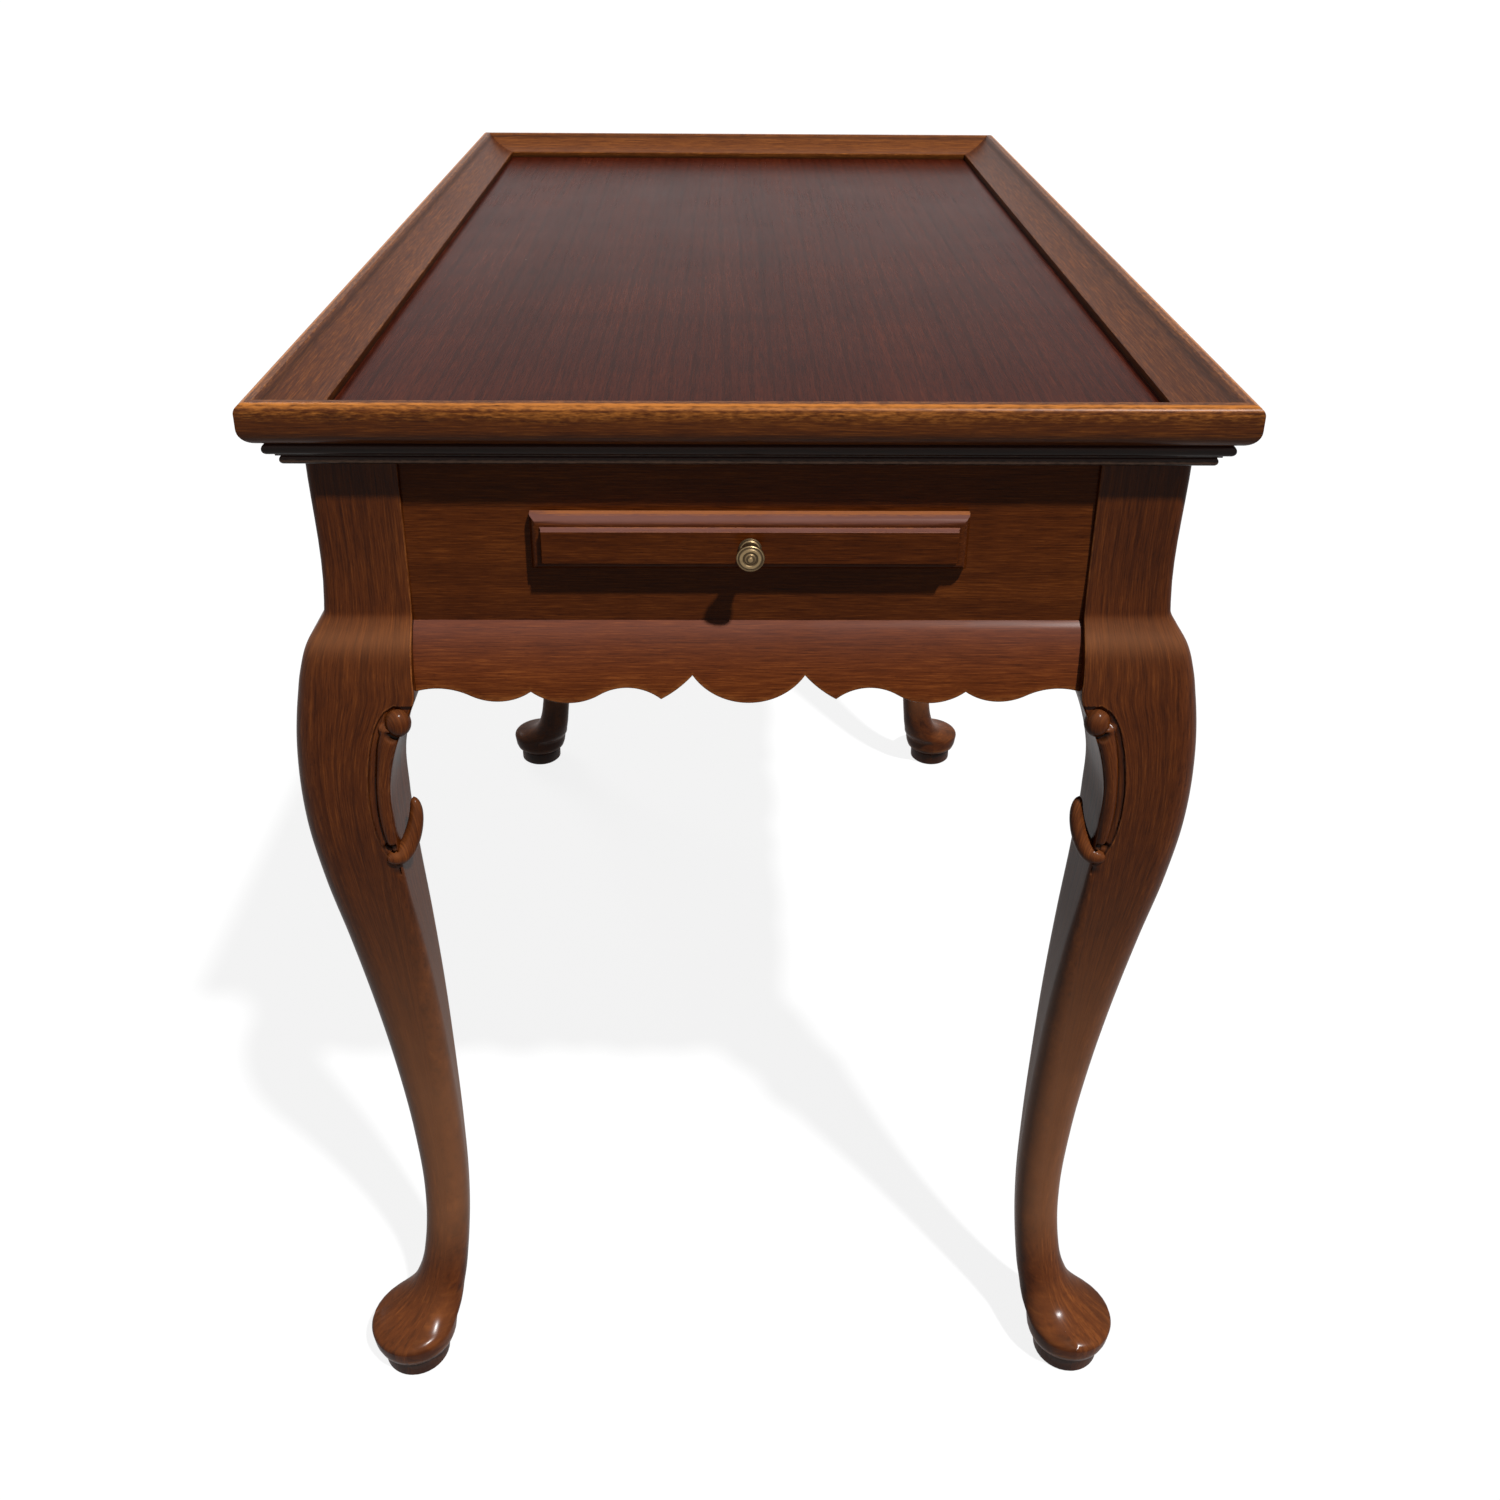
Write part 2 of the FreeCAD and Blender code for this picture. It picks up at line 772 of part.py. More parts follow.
def pieces():
    made = {"top_panel": top_panel(), "cross_rail": cross_rail(), "runner_spacer": runner_spacer()}
    made["runner_left"] = runner(-1)
    made["runner_right"] = runner(1)
    for side in sides:
        made["rim_" + side.name] = rim(side)
        made["cornice_" + side.name] = cornice(side)
        made["apron_" + side.name] = apron(side)
        made["skirt_" + side.name] = skirt(side)
        made["cleat_" + side.name] = cleat(side)
    plain = plain_leg()
    for way_x, way_y in corners():
        corner = ("front" if way_y < 0 else "back") + ("_left" if way_x < 0 else "_right")
        made["leg_" + corner] = leg(plain, way_x, way_y)
        made["corner_block_" + corner] = corner_block(way_x, way_y)
    for side in end_sides:
        start = "slide_" + side.name
        made[start + "_board"] = slide_board(side)
        made[start + "_face"] = slide_face(side)
        made[start + "_knob"] = knob(side)
        made[start + "_knob_screw"] = knob_screw(side, 0)
        made[start + "_stop_pins"] = slide_stop_pins(side)
    return made


os.makedirs("parts", exist_ok=True)
for name, shape in pieces().items():
    shape.exportStep("parts/" + name + ".step")
    print(name, len(shape.Solids), shape.isValid(), round(shape.Volume / 1000, 1))
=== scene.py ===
import math

import bpy
import numpy as np
from mathutils import Matrix, Vector


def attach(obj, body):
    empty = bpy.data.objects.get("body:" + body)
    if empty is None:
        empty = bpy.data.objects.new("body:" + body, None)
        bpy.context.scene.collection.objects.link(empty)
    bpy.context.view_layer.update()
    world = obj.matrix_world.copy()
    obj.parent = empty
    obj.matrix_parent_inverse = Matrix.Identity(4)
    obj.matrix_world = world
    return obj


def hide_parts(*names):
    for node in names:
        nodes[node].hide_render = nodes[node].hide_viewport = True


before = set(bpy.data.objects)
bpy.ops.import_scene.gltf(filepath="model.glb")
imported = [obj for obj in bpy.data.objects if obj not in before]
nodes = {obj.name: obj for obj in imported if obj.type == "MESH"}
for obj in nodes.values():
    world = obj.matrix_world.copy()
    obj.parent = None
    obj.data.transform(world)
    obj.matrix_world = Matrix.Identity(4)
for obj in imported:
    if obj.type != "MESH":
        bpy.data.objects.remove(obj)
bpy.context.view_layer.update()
scene = bpy.context.scene
mm = 0.001  # every size below is in millimetres until it goes into a mesh

# sizes that several pieces share
table = dict(
    width=483.0,
    length=778.0,
    height=680.0,
    rimHeight=22.0,
    corniceHeight=13.5,
    panelRecess=18.0,
    postInset=22.3,
    postSize=46.0,
    apronRecess=3.0,
    apronThickness=20.0,
    apronDepth=90.0,
    skirtDepth=42.5,
    slideDrop=43.0,
)
halfWidth = table["width"] / 2
halfLength = table["length"] / 2
topHeight = table["height"]
rimBottom = topHeight - table["rimHeight"]
frameTop = rimBottom - table["corniceHeight"]
panelTop = topHeight - table["panelRecess"]
postX = halfWidth - table["postInset"]
postY = halfLength - table["postInset"]
spanX = postX - table["postSize"]
spanY = postY - table["postSize"]
apronX = postX - table["apronRecess"]
apronY = postY - table["apronRecess"]
apronBottom = frameTop - table["apronDepth"]
skirtBottom = apronBottom - table["skirtDepth"]
slideHeight = frameTop - table["slideDrop"]

# for each side: distance and half length of the top's edge, place of the apron's face,
# half span between the posts, way of the grain, outward way and way along
endSide = dict(edge=halfLength, half=halfWidth, face=apronY, span=spanX, grain="x")
longSide = dict(edge=halfWidth, half=halfLength, face=apronX, span=spanY, grain="y")
sides = (
    dict(endSide, name="front", outWay=(0, -1), alongWay=(1, 0)),
    dict(endSide, name="back", outWay=(0, 1), alongWay=(-1, 0)),
    dict(longSide, name="left", outWay=(-1, 0), alongWay=(0, -1)),
    dict(longSide, name="right", outWay=(1, 0), alongWay=(0, 1)),
)
corners = (("front_left", -1, -1), ("front_right", 1, -1), ("back_left", -1, 1), ("back_right", 1, 1))


def smoothThrough(xs, knots, values):
    # cubic through rising knots, the slope at each knot being the weighted mean of its two chords
    knots, values = np.asarray(knots, float), np.asarray(values, float)
    gap = np.diff(knots)
    chord = np.diff(values) / gap
    inner = (chord[:-1] * gap[1:] + chord[1:] * gap[:-1]) / (gap[1:] + gap[:-1])
    slope = np.concatenate([chord[:1], inner, chord[-1:]])
    at = np.clip(np.searchsorted(knots, xs) - 1, 0, len(gap) - 1)
    t = (xs - knots[at]) / gap[at]
    rise = (1 - t) ** 2 * (1 + 2 * t) * values[at] + t * t * (3 - 2 * t) * values[at + 1]
    return rise + gap[at] * t * (1 - t) * ((1 - t) * slope[at] - t * slope[at + 1])


def smoothStep(low, high, x):
    # 0 below low, 1 above high, and 3t2 - 2t3 between
    t = np.clip((x - low) / (high - low), 0, 1)
    return t * t * (3 - 2 * t)


def bump(x, middle, width):
    # 1 at the middle, falling off as e to the minus square of the distance in widths
    return np.exp(-((x - middle) / width) ** 2)


def arcPoints(centre, radius, start, stop, count):
    # points at equal angles, in degrees, round a centre
    turn = np.radians(np.linspace(start, stop, count))
    return np.stack([centre[0] + radius * np.cos(turn), centre[1] + radius * np.sin(turn)], 1)


def roundTurn(count):
    # equal angles all the way round, without the last one, which would fall on the first
    return np.radians(np.linspace(0, 360, count + 1)[:-1])


def gridFaces(rows, columns):
    # quads between neighbours of a grid stored row by row, its last column joined to the first
    row = np.arange(rows - 1)[:, None] * columns
    column = np.arange(columns)[None, :]
    after = (column + 1) % columns
    return np.stack([
        row + column, row + after, row + columns + after, row + columns + column], -1).reshape(-1, 4)


def shell(points):
    # a tube from a grid of rows by points round, both ends closed by flat faces
    rows, columns = points.shape[:2]
    faces = gridFaces(rows, columns).tolist()
    faces.append(list(range(columns))[::-1])
    faces.append(list(range((rows - 1) * columns, rows * columns)))
    return points.reshape(-1, 3), faces


def outwards(points, faces):
    # turns all faces round when the enclosed volume, a sum of triple products over a fan of each, is negative
    fans = [np.stack([np.full(len(face) - 2, face[0]), face[1:-1], face[2:]], 1)
            for face in faces if len(face) > 4]
    quads = np.array([face for face in faces if len(face) == 4])
    fans += [quads[:, keep] for keep in ((0, 1, 2), (0, 2, 3))]
    a, b, c = points[np.concatenate(fans)].transpose(1, 0, 2)
    volume = (a * np.cross(b, c)).sum()
    return faces if volume > 0 else [face[::-1] for face in faces]


def rowMask(shape, marks):
    # 0 on a grid, apart from the rows marked as from, up to and strength
    mask = np.zeros(shape)
    for start, stop, strength in marks:
        mask[start:stop] = strength
    return mask


def addPiece(name, shells, material, body, replaced=True, sharpAngle=35, masks=None):
    # joins closed shells into one smooth-shaded mesh in the row frame, in place of the solid of the same name
    verts, faces, start = [], [], 0
    for points, loops in shells:
        faces += [[index + start for index in loop] for loop in outwards(points, loops)]
        verts.append(points)
        start += len(points)
    mesh = bpy.data.meshes.new(name)
    mesh.from_pydata(np.concatenate(verts) * mm, [], faces)
    mesh.validate()
    for key, values in (masks or {}).items():
        values = np.asarray(values, np.float32)
        kind, field = ("FLOAT", "value") if values.ndim == 1 else ("FLOAT_VECTOR", "vector")
        mesh.attributes.new(key, kind, "POINT").data.foreach_set(field, values.ravel())
    mesh.polygons.foreach_set("use_smooth", np.ones(len(mesh.polygons), bool))
    mesh.set_sharp_from_angle(angle=math.radians(sharpAngle))
    mesh.materials.append(material)
    piece = bpy.data.objects.new(name, mesh)
    scene.collection.objects.link(piece)
    if replaced:
        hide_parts(name)
    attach(piece, body)


def place(side, along, out, height):
    # a grid in a side's own directions put into the row frame
    outWay, alongWay = side["outWay"], side["alongWay"]
    along, out, height = np.broadcast_arrays(along, out, height)
    return np.stack([
        along * alongWay[0] + out * outWay[0], along * alongWay[1] + out * outWay[1], height], -1)


def addNode(tree, kind, inputs=None, **settings):
    # a node with its settings; inputs are linked where they are sockets, and set where they are values
    node = tree.nodes.new(kind)
    for key, value in settings.items():
        setattr(node, key, value)
    for key, value in (inputs or {}).items():
        if isinstance(value, bpy.types.NodeSocket):
            tree.links.new(value, node.inputs[key])
        else:
            node.inputs[key].default_value = value
    return node


def calc(tree, operation, a, b=0.0, c=0.0):
    # one step of arithmetic
    return addNode(tree, "ShaderNodeMath", {0: a, 1: b, 2: c}, operation=operation).outputs[0]


def vary(tree, pattern, amount, total=0.0):
    # total, more where the pattern is above its middle and less where it is below
    return calc(tree, "MULTIPLY_ADD", calc(tree, "SUBTRACT", pattern, 0.5), amount, total)


def noise(tree, vector, scale, detail=2.0, rough=0.5, distortion=0.0):
    # a cloudy pattern between 0 and 1
    inputs = {
        "Vector": vector, "Scale": scale, "Detail": detail, "Roughness": rough, "Distortion": distortion}
    return addNode(tree, "ShaderNodeTexNoise", inputs).outputs["Fac"]


def calcVector(tree, operation, inputs):
    # one step of arithmetic with vectors
    return addNode(tree, "ShaderNodeVectorMath", inputs, operation=operation).outputs[0]


def stretch(tree, vector, along, across):
    # scales the pattern along X and across it
    return calcVector(tree, "MULTIPLY", {0: vector, 1: (along, across, across)})


def grainNoise(tree, vector, along, across, *roughness):
    # noise with its repeats per metre along and across the grain
    return noise(tree, stretch(tree, vector, along, across), 1.0, *roughness)


def ramp(tree, value, low, high):
    # 0 at low, 1 at high
    inputs = {"Value": value, "From Min": low, "From Max": high}
    return addNode(tree, "ShaderNodeMapRange", inputs, interpolation_type="SMOOTHSTEP").outputs["Result"]


def mixColour(tree, factor, one, two, blend="MIX"):
    # the first colour at 0, and the second or its blend with the first at 1
    return addNode(tree, "ShaderNodeMix", {0: factor, 6: one, 7: two},
                   data_type="RGBA", blend_type=blend).outputs[2]


def shaded(tree, mask, colour, shade):
    # the colour, times a shade where the mask is 1
    return mixColour(tree, mask, colour, mixColour(tree, 1.0, colour, shade, "MULTIPLY"))


def pieceMask(tree, name):
    # a mask that the piece carries on its points, 0 where it has none
    return addNode(tree, "ShaderNodeAttribute", attribute_name=name).outputs["Fac"]


def newGroup(name, **inputs):
    # each group takes a vector, and inputs for colours and numbers with these start values
    tree = bpy.data.node_groups.new(name, "ShaderNodeTree")
    tree.interface.new_socket("Vector", in_out="INPUT", socket_type="NodeSocketVector")
    for key, value in inputs.items():
        kind = "Color" if isinstance(value, tuple) else "Float"
        socket = tree.interface.new_socket(key, in_out="INPUT", socket_type="NodeSocket" + kind)
        socket.default_value = value
    return tree, tree.nodes.new("NodeGroupInput").outputs


def giveOut(tree, values):
    # the group's outputs, each a colour or a number as what it puts out
    for key, value in values.items():
        kind = "Color" if value.type == "RGBA" else "Float"
        tree.interface.new_socket(key, in_out="OUTPUT", socket_type="NodeSocket" + kind)
    addNode(tree, "NodeGroupOutput", values)
    return tree


def placeGroup(tree, group, finish, inputs):
    # inputs that aren't given here are taken from the finish, under the same name in small letters
    names = [item.name for item in group.interface.items_tree if item.in_out == "INPUT"]
    values = {name: inputs[name] if name in inputs else finish[name.lower()] for name in names}
    return addNode(tree, "ShaderNodeGroup", values, node_tree=group).outputs


grainPattern = dict(
    # repeats per metre along and across the grain, detail, roughness, distortion
    bend=(2.2, 9.0, 2.0, 0.5),
    growth=(1.6, 26.0, 3.0, 0.5),
    streak=(5.0, 260.0, 3.0, 0.6),
    fibre=(55.0, 1250.0, 3.0, 0.7),
    pore=(210.0, 2300.0, 1.0, 0.5),
    curl=(21.0, 6.0, 2.0, 0.45, 0.6),
    rings=(1.5, 21.0),
    # how far the figure bends the grain, and what each pattern adds to the tone
    bendBy=0.022,
    streakBy=0.3,
    ringsBy=0.22,
    curlBy=0.8,
    fibreBy=1.5,
    linesBy=1.1,
    # tones or values between which each colour or mask comes in
    deep=(0.1, 0.52),
    pale=(0.46, 0.95),
    lines=(0.72, 0.98),
    pores=(0.6, 0.72),
    lineShade=(0.42, 0.36, 0.36, 1),
    poreShade=(0.35, 0.3, 0.3, 1),
    poreDepth=0.8,
    fibreHeight=0.35,
)


def makeGrainGroup():
    # grain runs along X: broad growth bands, curved figure, fine fibre and short pores
    tree, given = newGroup(
        "woodGrain",
        Dark=(0.03, 0.01, 0.006, 1),
        Middle=(0.09, 0.03, 0.015, 1),
        Light=(0.2, 0.08, 0.03, 1),
        Bands=1.0,
        Figure=0.3,
        Pores=0.5,
    )
    pattern, vector = grainPattern, given["Vector"]

    def figured(amount):
        return calc(tree, "MULTIPLY", given["Figure"], amount)

    bend = grainNoise(tree, vector, *pattern["bend"])
    shift = calcVector(tree, "SCALE", {0: bend, "Scale": figured(pattern["bendBy"])})
    bent = calcVector(tree, "ADD", {0: vector, 1: shift})
    growth, streak, fibre, pore = [
        grainNoise(tree, bent, *pattern[key]) for key in ("growth", "streak", "fibre", "pore")]
    curl = grainNoise(tree, vector, *pattern["curl"])
    rings = addNode(tree, "ShaderNodeTexWave", {
        "Vector": stretch(tree, bent, *pattern["rings"]), "Scale": 1.3, "Distortion": 7.0, "Detail": 2.0,
        "Detail Scale": 0.8, "Detail Roughness": 0.5}, wave_type="BANDS", bands_direction="Y").outputs["Fac"]
    tone = vary(tree, growth, given["Bands"])
    tone = vary(tree, streak, pattern["streakBy"], tone)
    tone = vary(tree, rings, figured(pattern["ringsBy"]), tone)
    tone = vary(tree, curl, figured(pattern["curlBy"]), tone)
    tone = calc(tree, "ADD", vary(tree, fibre, pattern["fibreBy"], tone), 0.5)
    colour = mixColour(tree, ramp(tree, tone, *pattern["deep"]), given["Dark"], given["Middle"])
    colour = mixColour(tree, ramp(tree, tone, *pattern["pale"]), colour, given["Light"])
    lines = calc(tree, "MULTIPLY", ramp(tree, rings, *pattern["lines"]), figured(pattern["linesBy"]))
    colour = shaded(tree, lines, colour, pattern["lineShade"])
    pores = calc(tree, "MULTIPLY", ramp(tree, pore, *pattern["pores"]), given["Pores"])
    colour = shaded(tree, pores, colour, pattern["poreShade"])
    height = calc(tree, "MULTIPLY", fibre, pattern["fibreHeight"])
    height = calc(tree, "MULTIPLY_ADD", pores, -pattern["poreDepth"], height)
    return giveOut(tree, {"Color": colour, "Height": height})


wearPattern = dict(
    # repeats per metre along and across the grain, detail, roughness
    patch=(13.0, 60.0, 3.0, 0.6),
    grit=(170.0, 800.0, 2.0, 0.7),
    patchBy=0.6,
    gritBy=1.3,
    rubbed=(0.12, 1.1),
    edge=(0.02, 0.35),
    grimeAndShadeBy=0.85,
    # nicks lie in some cells of a pattern, near the middle of the cell
    nickScale=34.0,
    nickedAbove=0.8,
    nickSize=0.016,
    nickColour=(0.62, 0.5, 0.38, 1),
)


def makeWearAndLightGroup():
    # rubbed arrises show warm bare wood, and on some edges the same colour paints a highlight; creases hold
    # dark polish, and the dark colour also paints shade in seams, grooves and hollows; small nicks lie here
    # and there
    tree, given = newGroup(
        "rubbedEdgesAndPaintedLight",
        Color=(0.1, 0.03, 0.015, 1),
        Rubbed=(0.42, 0.16, 0.05, 1),
        Grime=(0.02, 0.008, 0.005, 1),
        Rub=0.6,
        Nicks=0.5,
    )
    pattern, vector = wearPattern, given["Vector"]
    wear_and_highlight, grime = pieceMask(tree, "wear_and_highlight"), pieceMask(tree, "grime")
    rub = vary(tree, grainNoise(tree, vector, *pattern["patch"]), pattern["patchBy"], wear_and_highlight)
    rub = vary(tree, grainNoise(tree, vector, *pattern["grit"]), pattern["gritBy"], rub)
    edge = calc(tree, "MULTIPLY", ramp(tree, wear_and_highlight, *pattern["edge"]), given["Rub"])
    rub = calc(tree, "MULTIPLY", ramp(tree, rub, *pattern["rubbed"]), edge)
    cell = addNode(tree, "ShaderNodeTexVoronoi", {
        "Vector": vector, "Scale": pattern["nickScale"], "Randomness": 1.0})
    draw = addNode(tree, "ShaderNodeSeparateColor", {"Color": cell.outputs["Color"]}).outputs[0]
    chosen = calc(tree, "GREATER_THAN", draw, pattern["nickedAbove"])
    spot = calc(tree, "LESS_THAN", cell.outputs["Distance"], pattern["nickSize"])
    nick = calc(tree, "MULTIPLY", calc(tree, "MULTIPLY", chosen, spot), given["Nicks"])
    colour = mixColour(
        tree, calc(tree, "MULTIPLY", grime, pattern["grimeAndShadeBy"]), given["Color"], given["Grime"])
    colour = mixColour(tree, rub, colour, given["Rubbed"])
    colour = mixColour(tree, nick, colour, pattern["nickColour"])
    return giveOut(tree, {"Color": colour, "Grime": grime})


def makeBloomGroup():
    # old polish goes dull and grey on what faces up, and that pale film also paints the sheen of light there;
    # shins and the knee's top get painted sheen from their own mask
    tree, given = newGroup("greyBloom", Color=(0.1, 0.03, 0.015, 1), Bloom=(0.17, 0.11, 0.09, 1), Bloomed=0.4)
    facing = addNode(tree, "ShaderNodeNewGeometry").outputs["Normal"]
    upward = ramp(tree, addNode(tree, "ShaderNodeSeparateXYZ", {0: facing}).outputs["Z"], 0.08, 0.6)
    mask = calc(tree, "MULTIPLY_ADD", upward, given["Bloomed"], pieceMask(tree, "painted_sheen"))
    patch = noise(tree, given["Vector"], 24.0, 3.0, 0.6)
    mask = calc(tree, "MULTIPLY", mask, calc(tree, "MULTIPLY_ADD", patch, 0.5, 0.75))
    return giveOut(tree, {"Color": mixColour(tree, mask, given["Color"], given["Bloom"])})


polishPattern = dict(
    cloudScale=9.0,
    hair=(25.0, 700.0, 2.0, 0.6),
    hairBy=0.1,
    dullBy=0.3,
    least=0.08,
    most=0.9,
    swellScale=75.0,
)


def makePolishGroup():
    # an uneven hand-rubbed film: broad clouding, fine scratches along X and a slight swell of the surface
    tree, given = newGroup("rubbedPolish", Sheen=0.3, Clouding=0.08, Dullness=0.0)
    pattern, vector = polishPattern, given["Vector"]
    cloud = noise(tree, vector, pattern["cloudScale"], 3.0, 0.6)
    rough = vary(tree, cloud, calc(tree, "MULTIPLY", given["Clouding"], 2.0), given["Sheen"])
    rough = vary(tree, grainNoise(tree, vector, *pattern["hair"]), pattern["hairBy"], rough)
    rough = calc(tree, "MULTIPLY_ADD", given["Dullness"], pattern["dullBy"], rough)
    rough = calc(tree, "MINIMUM", calc(tree, "MAXIMUM", rough, pattern["least"]), pattern["most"])
    return giveOut(tree, {"Roughness": rough, "Height": noise(tree, vector, pattern["swellScale"], 2.0, 0.5)})


grainGroup = makeGrainGroup()
wearAndLightGroup = makeWearAndLightGroup()
dustSheenGroup = makeBloomGroup()
polishGroup = makePolishGroup()


def newMaterial(name, values):
    # a material with the plain values of its shader
    material = bpy.data.materials.new(name)
    material.use_nodes = True
    tree = material.node_tree
    shader = tree.nodes["Principled BSDF"]
    for key, value in values.items():
        shader.inputs[key].default_value = value
    return material, tree, shader


def relief(tree, height, distance, inputs=None):
    # a bump of so many millimetres
    inputs = dict(inputs or {}, Strength=1.0, Distance=distance * mm, Height=height)
    return addNode(tree, "ShaderNodeBump", inputs).outputs[0]


turns = {"x": (0, 0, 0), "y": (0, 0, -90)}  # degrees that bring the grain's way onto X


def cherry(name, way, finish):
    # stained cherry under satin varnish, grain along x or y of the table, or with flow along the piece
    material, tree, shader = newMaterial(name, {
        "Specular IOR Level": finish["specular"], "Specular Tint": finish["tint"],
        "Coat Weight": finish["coat"], "Coat Roughness": finish["coatRough"]})
    spot = addNode(tree, "ShaderNodeTexCoord").outputs["Object"]
    if way == "flow":
        vector = addNode(tree, "ShaderNodeAttribute", attribute_name="flow").outputs["Vector"]
    else:
        turn = [math.radians(angle) for angle in turns[way]]
        vector = addNode(tree, "ShaderNodeMapping", {"Vector": spot, "Rotation": turn}).outputs[0]
    grain = placeGroup(tree, grainGroup, finish, {"Vector": vector})
    bloom = placeGroup(tree, dustSheenGroup, finish, {"Vector": spot, "Color": grain["Color"]})
    wear_and_highlight = placeGroup(tree, wearAndLightGroup, finish, {"Vector": vector, "Color": bloom["Color"]})
    polish = placeGroup(tree, polishGroup, finish, {"Vector": vector, "Dullness": wear_and_highlight["Grime"]})
    swell = relief(tree, polish["Height"], finish["swell"])
    tree.links.new(wear_and_highlight["Color"], shader.inputs["Base Color"])
    tree.links.new(polish["Roughness"], shader.inputs["Roughness"])
    tree.links.new(
        relief(tree, grain["Height"], finish["relief"], {"Normal": swell}), shader.inputs["Normal"])
    return material


def bothWays(name, finish):
    # one finish with its grain along X, and along Y
    return {way: cherry(name + way.upper(), way, finish) for way in turns}


cherryFinish = dict(
    dark=(0.034, 0.007, 0.0011, 1),
    middle=(0.076, 0.0172, 0.0028, 1),
    light=(0.15, 0.04, 0.0072, 1),
    rubbed=(0.36, 0.12, 0.028, 1),
    grime=(0.007, 0.0028, 0.0016, 1),
    # pale film with painted sheen on what faces up: its colour and how much
    bloom=(0.165, 0.074, 0.06, 1),
    bloomed=0.35,
    bands=0.42,
    figure=0.22,
    pores=0.45,
    rub=0.6,
    nicks=0.7,
    sheen=0.3,
    clouding=0.06,
    swell=0.06,
    relief=0.02,
    specular=0.012,
    tint=(1.0, 0.82, 0.7, 1),
    coat=0.07,
    coatRough=0.24,
)
panelFinish = dict(
    cherryFinish,
    dark=(0.022, 0.0033, 0.0015, 1),
    middle=(0.041, 0.0061, 0.0024, 1),
    light=(0.076, 0.0135, 0.0045, 1),
    bloomed=0.0,
    bands=0.6,
    figure=0.48,
    sheen=0.25,
    nicks=0.2,
    swell=0.01,
    relief=0.005,
    specular=0.014,
    coat=0.01,
    coatRough=0.12,
)
rimFinish = dict(
    cherryFinish,
    dark=(0.028, 0.006, 0.001, 1),
    middle=(0.07, 0.0168, 0.0026, 1),
    light=(0.17, 0.05, 0.008, 1),
    rubbed=(0.47, 0.165, 0.032, 1),
    bloomed=0.06,
    rub=0.9,
    sheen=0.33,
    swell=0.03,
    coat=0.16,
    coatRough=0.3,
)
# the far rim is painted paler than the others, standing in for the light and sheen its cove catches
rimBackLitFinish = dict(rimFinish, middle=(0.12, 0.034, 0.0062, 1), light=(0.24, 0.078, 0.014, 1))
# cornice cherry made far darker than the rest, as painted shade under the rim's overhang, with a pale rubbed
# colour that paints highlight lines on its edges
corniceShadedFinish = dict(
    cherryFinish,
    dark=(0.006, 0.0022, 0.0012, 1),
    middle=(0.014, 0.0045, 0.002, 1),
    light=(0.034, 0.0105, 0.0034, 1),
    rub=0.55,
    rubbed=(0.42, 0.22, 0.13, 1),
    specular=0.02,
    coat=0.2,
)
apronFinish = dict(cherryFinish, figure=0.35, swell=0.03)
skirtFinish = dict(
    cherryFinish,
    dark=(0.05, 0.0105, 0.002, 1),
    middle=(0.106, 0.0235, 0.0048, 1),
    light=(0.21, 0.056, 0.0115, 1),
    # painted sheen on the skirt's upward swell
    bloomed=0.34,
    swell=0.05,
)
slideFinish = dict(
    cherryFinish,
    dark=(0.028, 0.0055, 0.0009, 1),
    middle=(0.062, 0.0132, 0.0019, 1),
    light=(0.125, 0.032, 0.0055, 1),
    figure=0.3,
    # strong painted sheen on the upward moulding of the slide
    bloomed=0.75,
    swell=0.02,
)
boardFinish = dict(slideFinish, bloomed=0.08, figure=0.5)
legFinish = dict(
    cherryFinish,
    # browner painted sheen for the legs, most of it on shins and knee top from their own mask
    bloom=(0.26, 0.11, 0.05, 1),
    bloomed=0.12,
    bands=0.45,
    figure=0.45,
    sheen=0.33,
    specular=0.004,
    coat=0.14,
    coatRough=0.2,
)
innerFinish = dict(
    cherryFinish,
    dark=(0.2, 0.12, 0.06, 1),
    middle=(0.36, 0.24, 0.13, 1),
    light=(0.5, 0.36, 0.21, 1),
    bloomed=0.0,
    rub=0.0,
    nicks=0.0,
    sheen=0.7,
    relief=0.12,
)
panelWood = cherry("panelCherry", "y", panelFinish)
rimWood = bothWays("rimCherry", rimFinish)
rimBackLitWood = cherry("rimCherryBackLit", "x", rimBackLitFinish)
corniceShadedWood = bothWays("corniceCherryShaded", corniceShadedFinish)
apronWood = bothWays("apronCherry", apronFinish)
skirtWood = bothWays("skirtCherry", skirtFinish)
slideWood = cherry("slideCherry", "x", slideFinish)
boardWood = cherry("boardCherry", "x", boardFinish)
legWood = cherry("legCherry", "flow", legFinish)
innerWood = bothWays("innerWood", innerFinish)


def agedMetal(name, finish):
    # metal with a dull film in its hollows, brighter where it is touched
    material, tree, shader = newMaterial(name, {"Metallic": 1.0})
    spot = addNode(tree, "ShaderNodeTexCoord").outputs["Object"]
    cloud = noise(tree, spot, finish["cloudScale"], 3.0, 0.6)
    fine = noise(tree, spot, finish["grainScale"], 2.0, 0.6)
    held = calc(tree, "SUBTRACT", pieceMask(tree, "grime"), pieceMask(tree, "wear_and_highlight"))
    film = ramp(tree, calc(tree, "ADD", cloud, held), 0.35, 1.1)
    rough = calc(tree, "MULTIPLY_ADD", film, finish["filmRough"], finish["sheen"])
    rough = calc(tree, "MULTIPLY_ADD", fine, finish["grainRough"], rough)
    tree.links.new(mixColour(tree, film, finish["bright"], finish["dull"]), shader.inputs["Base Color"])
    tree.links.new(rough, shader.inputs["Roughness"])
    tree.links.new(relief(tree, fine, finish["relief"]), shader.inputs["Normal"])
    return material


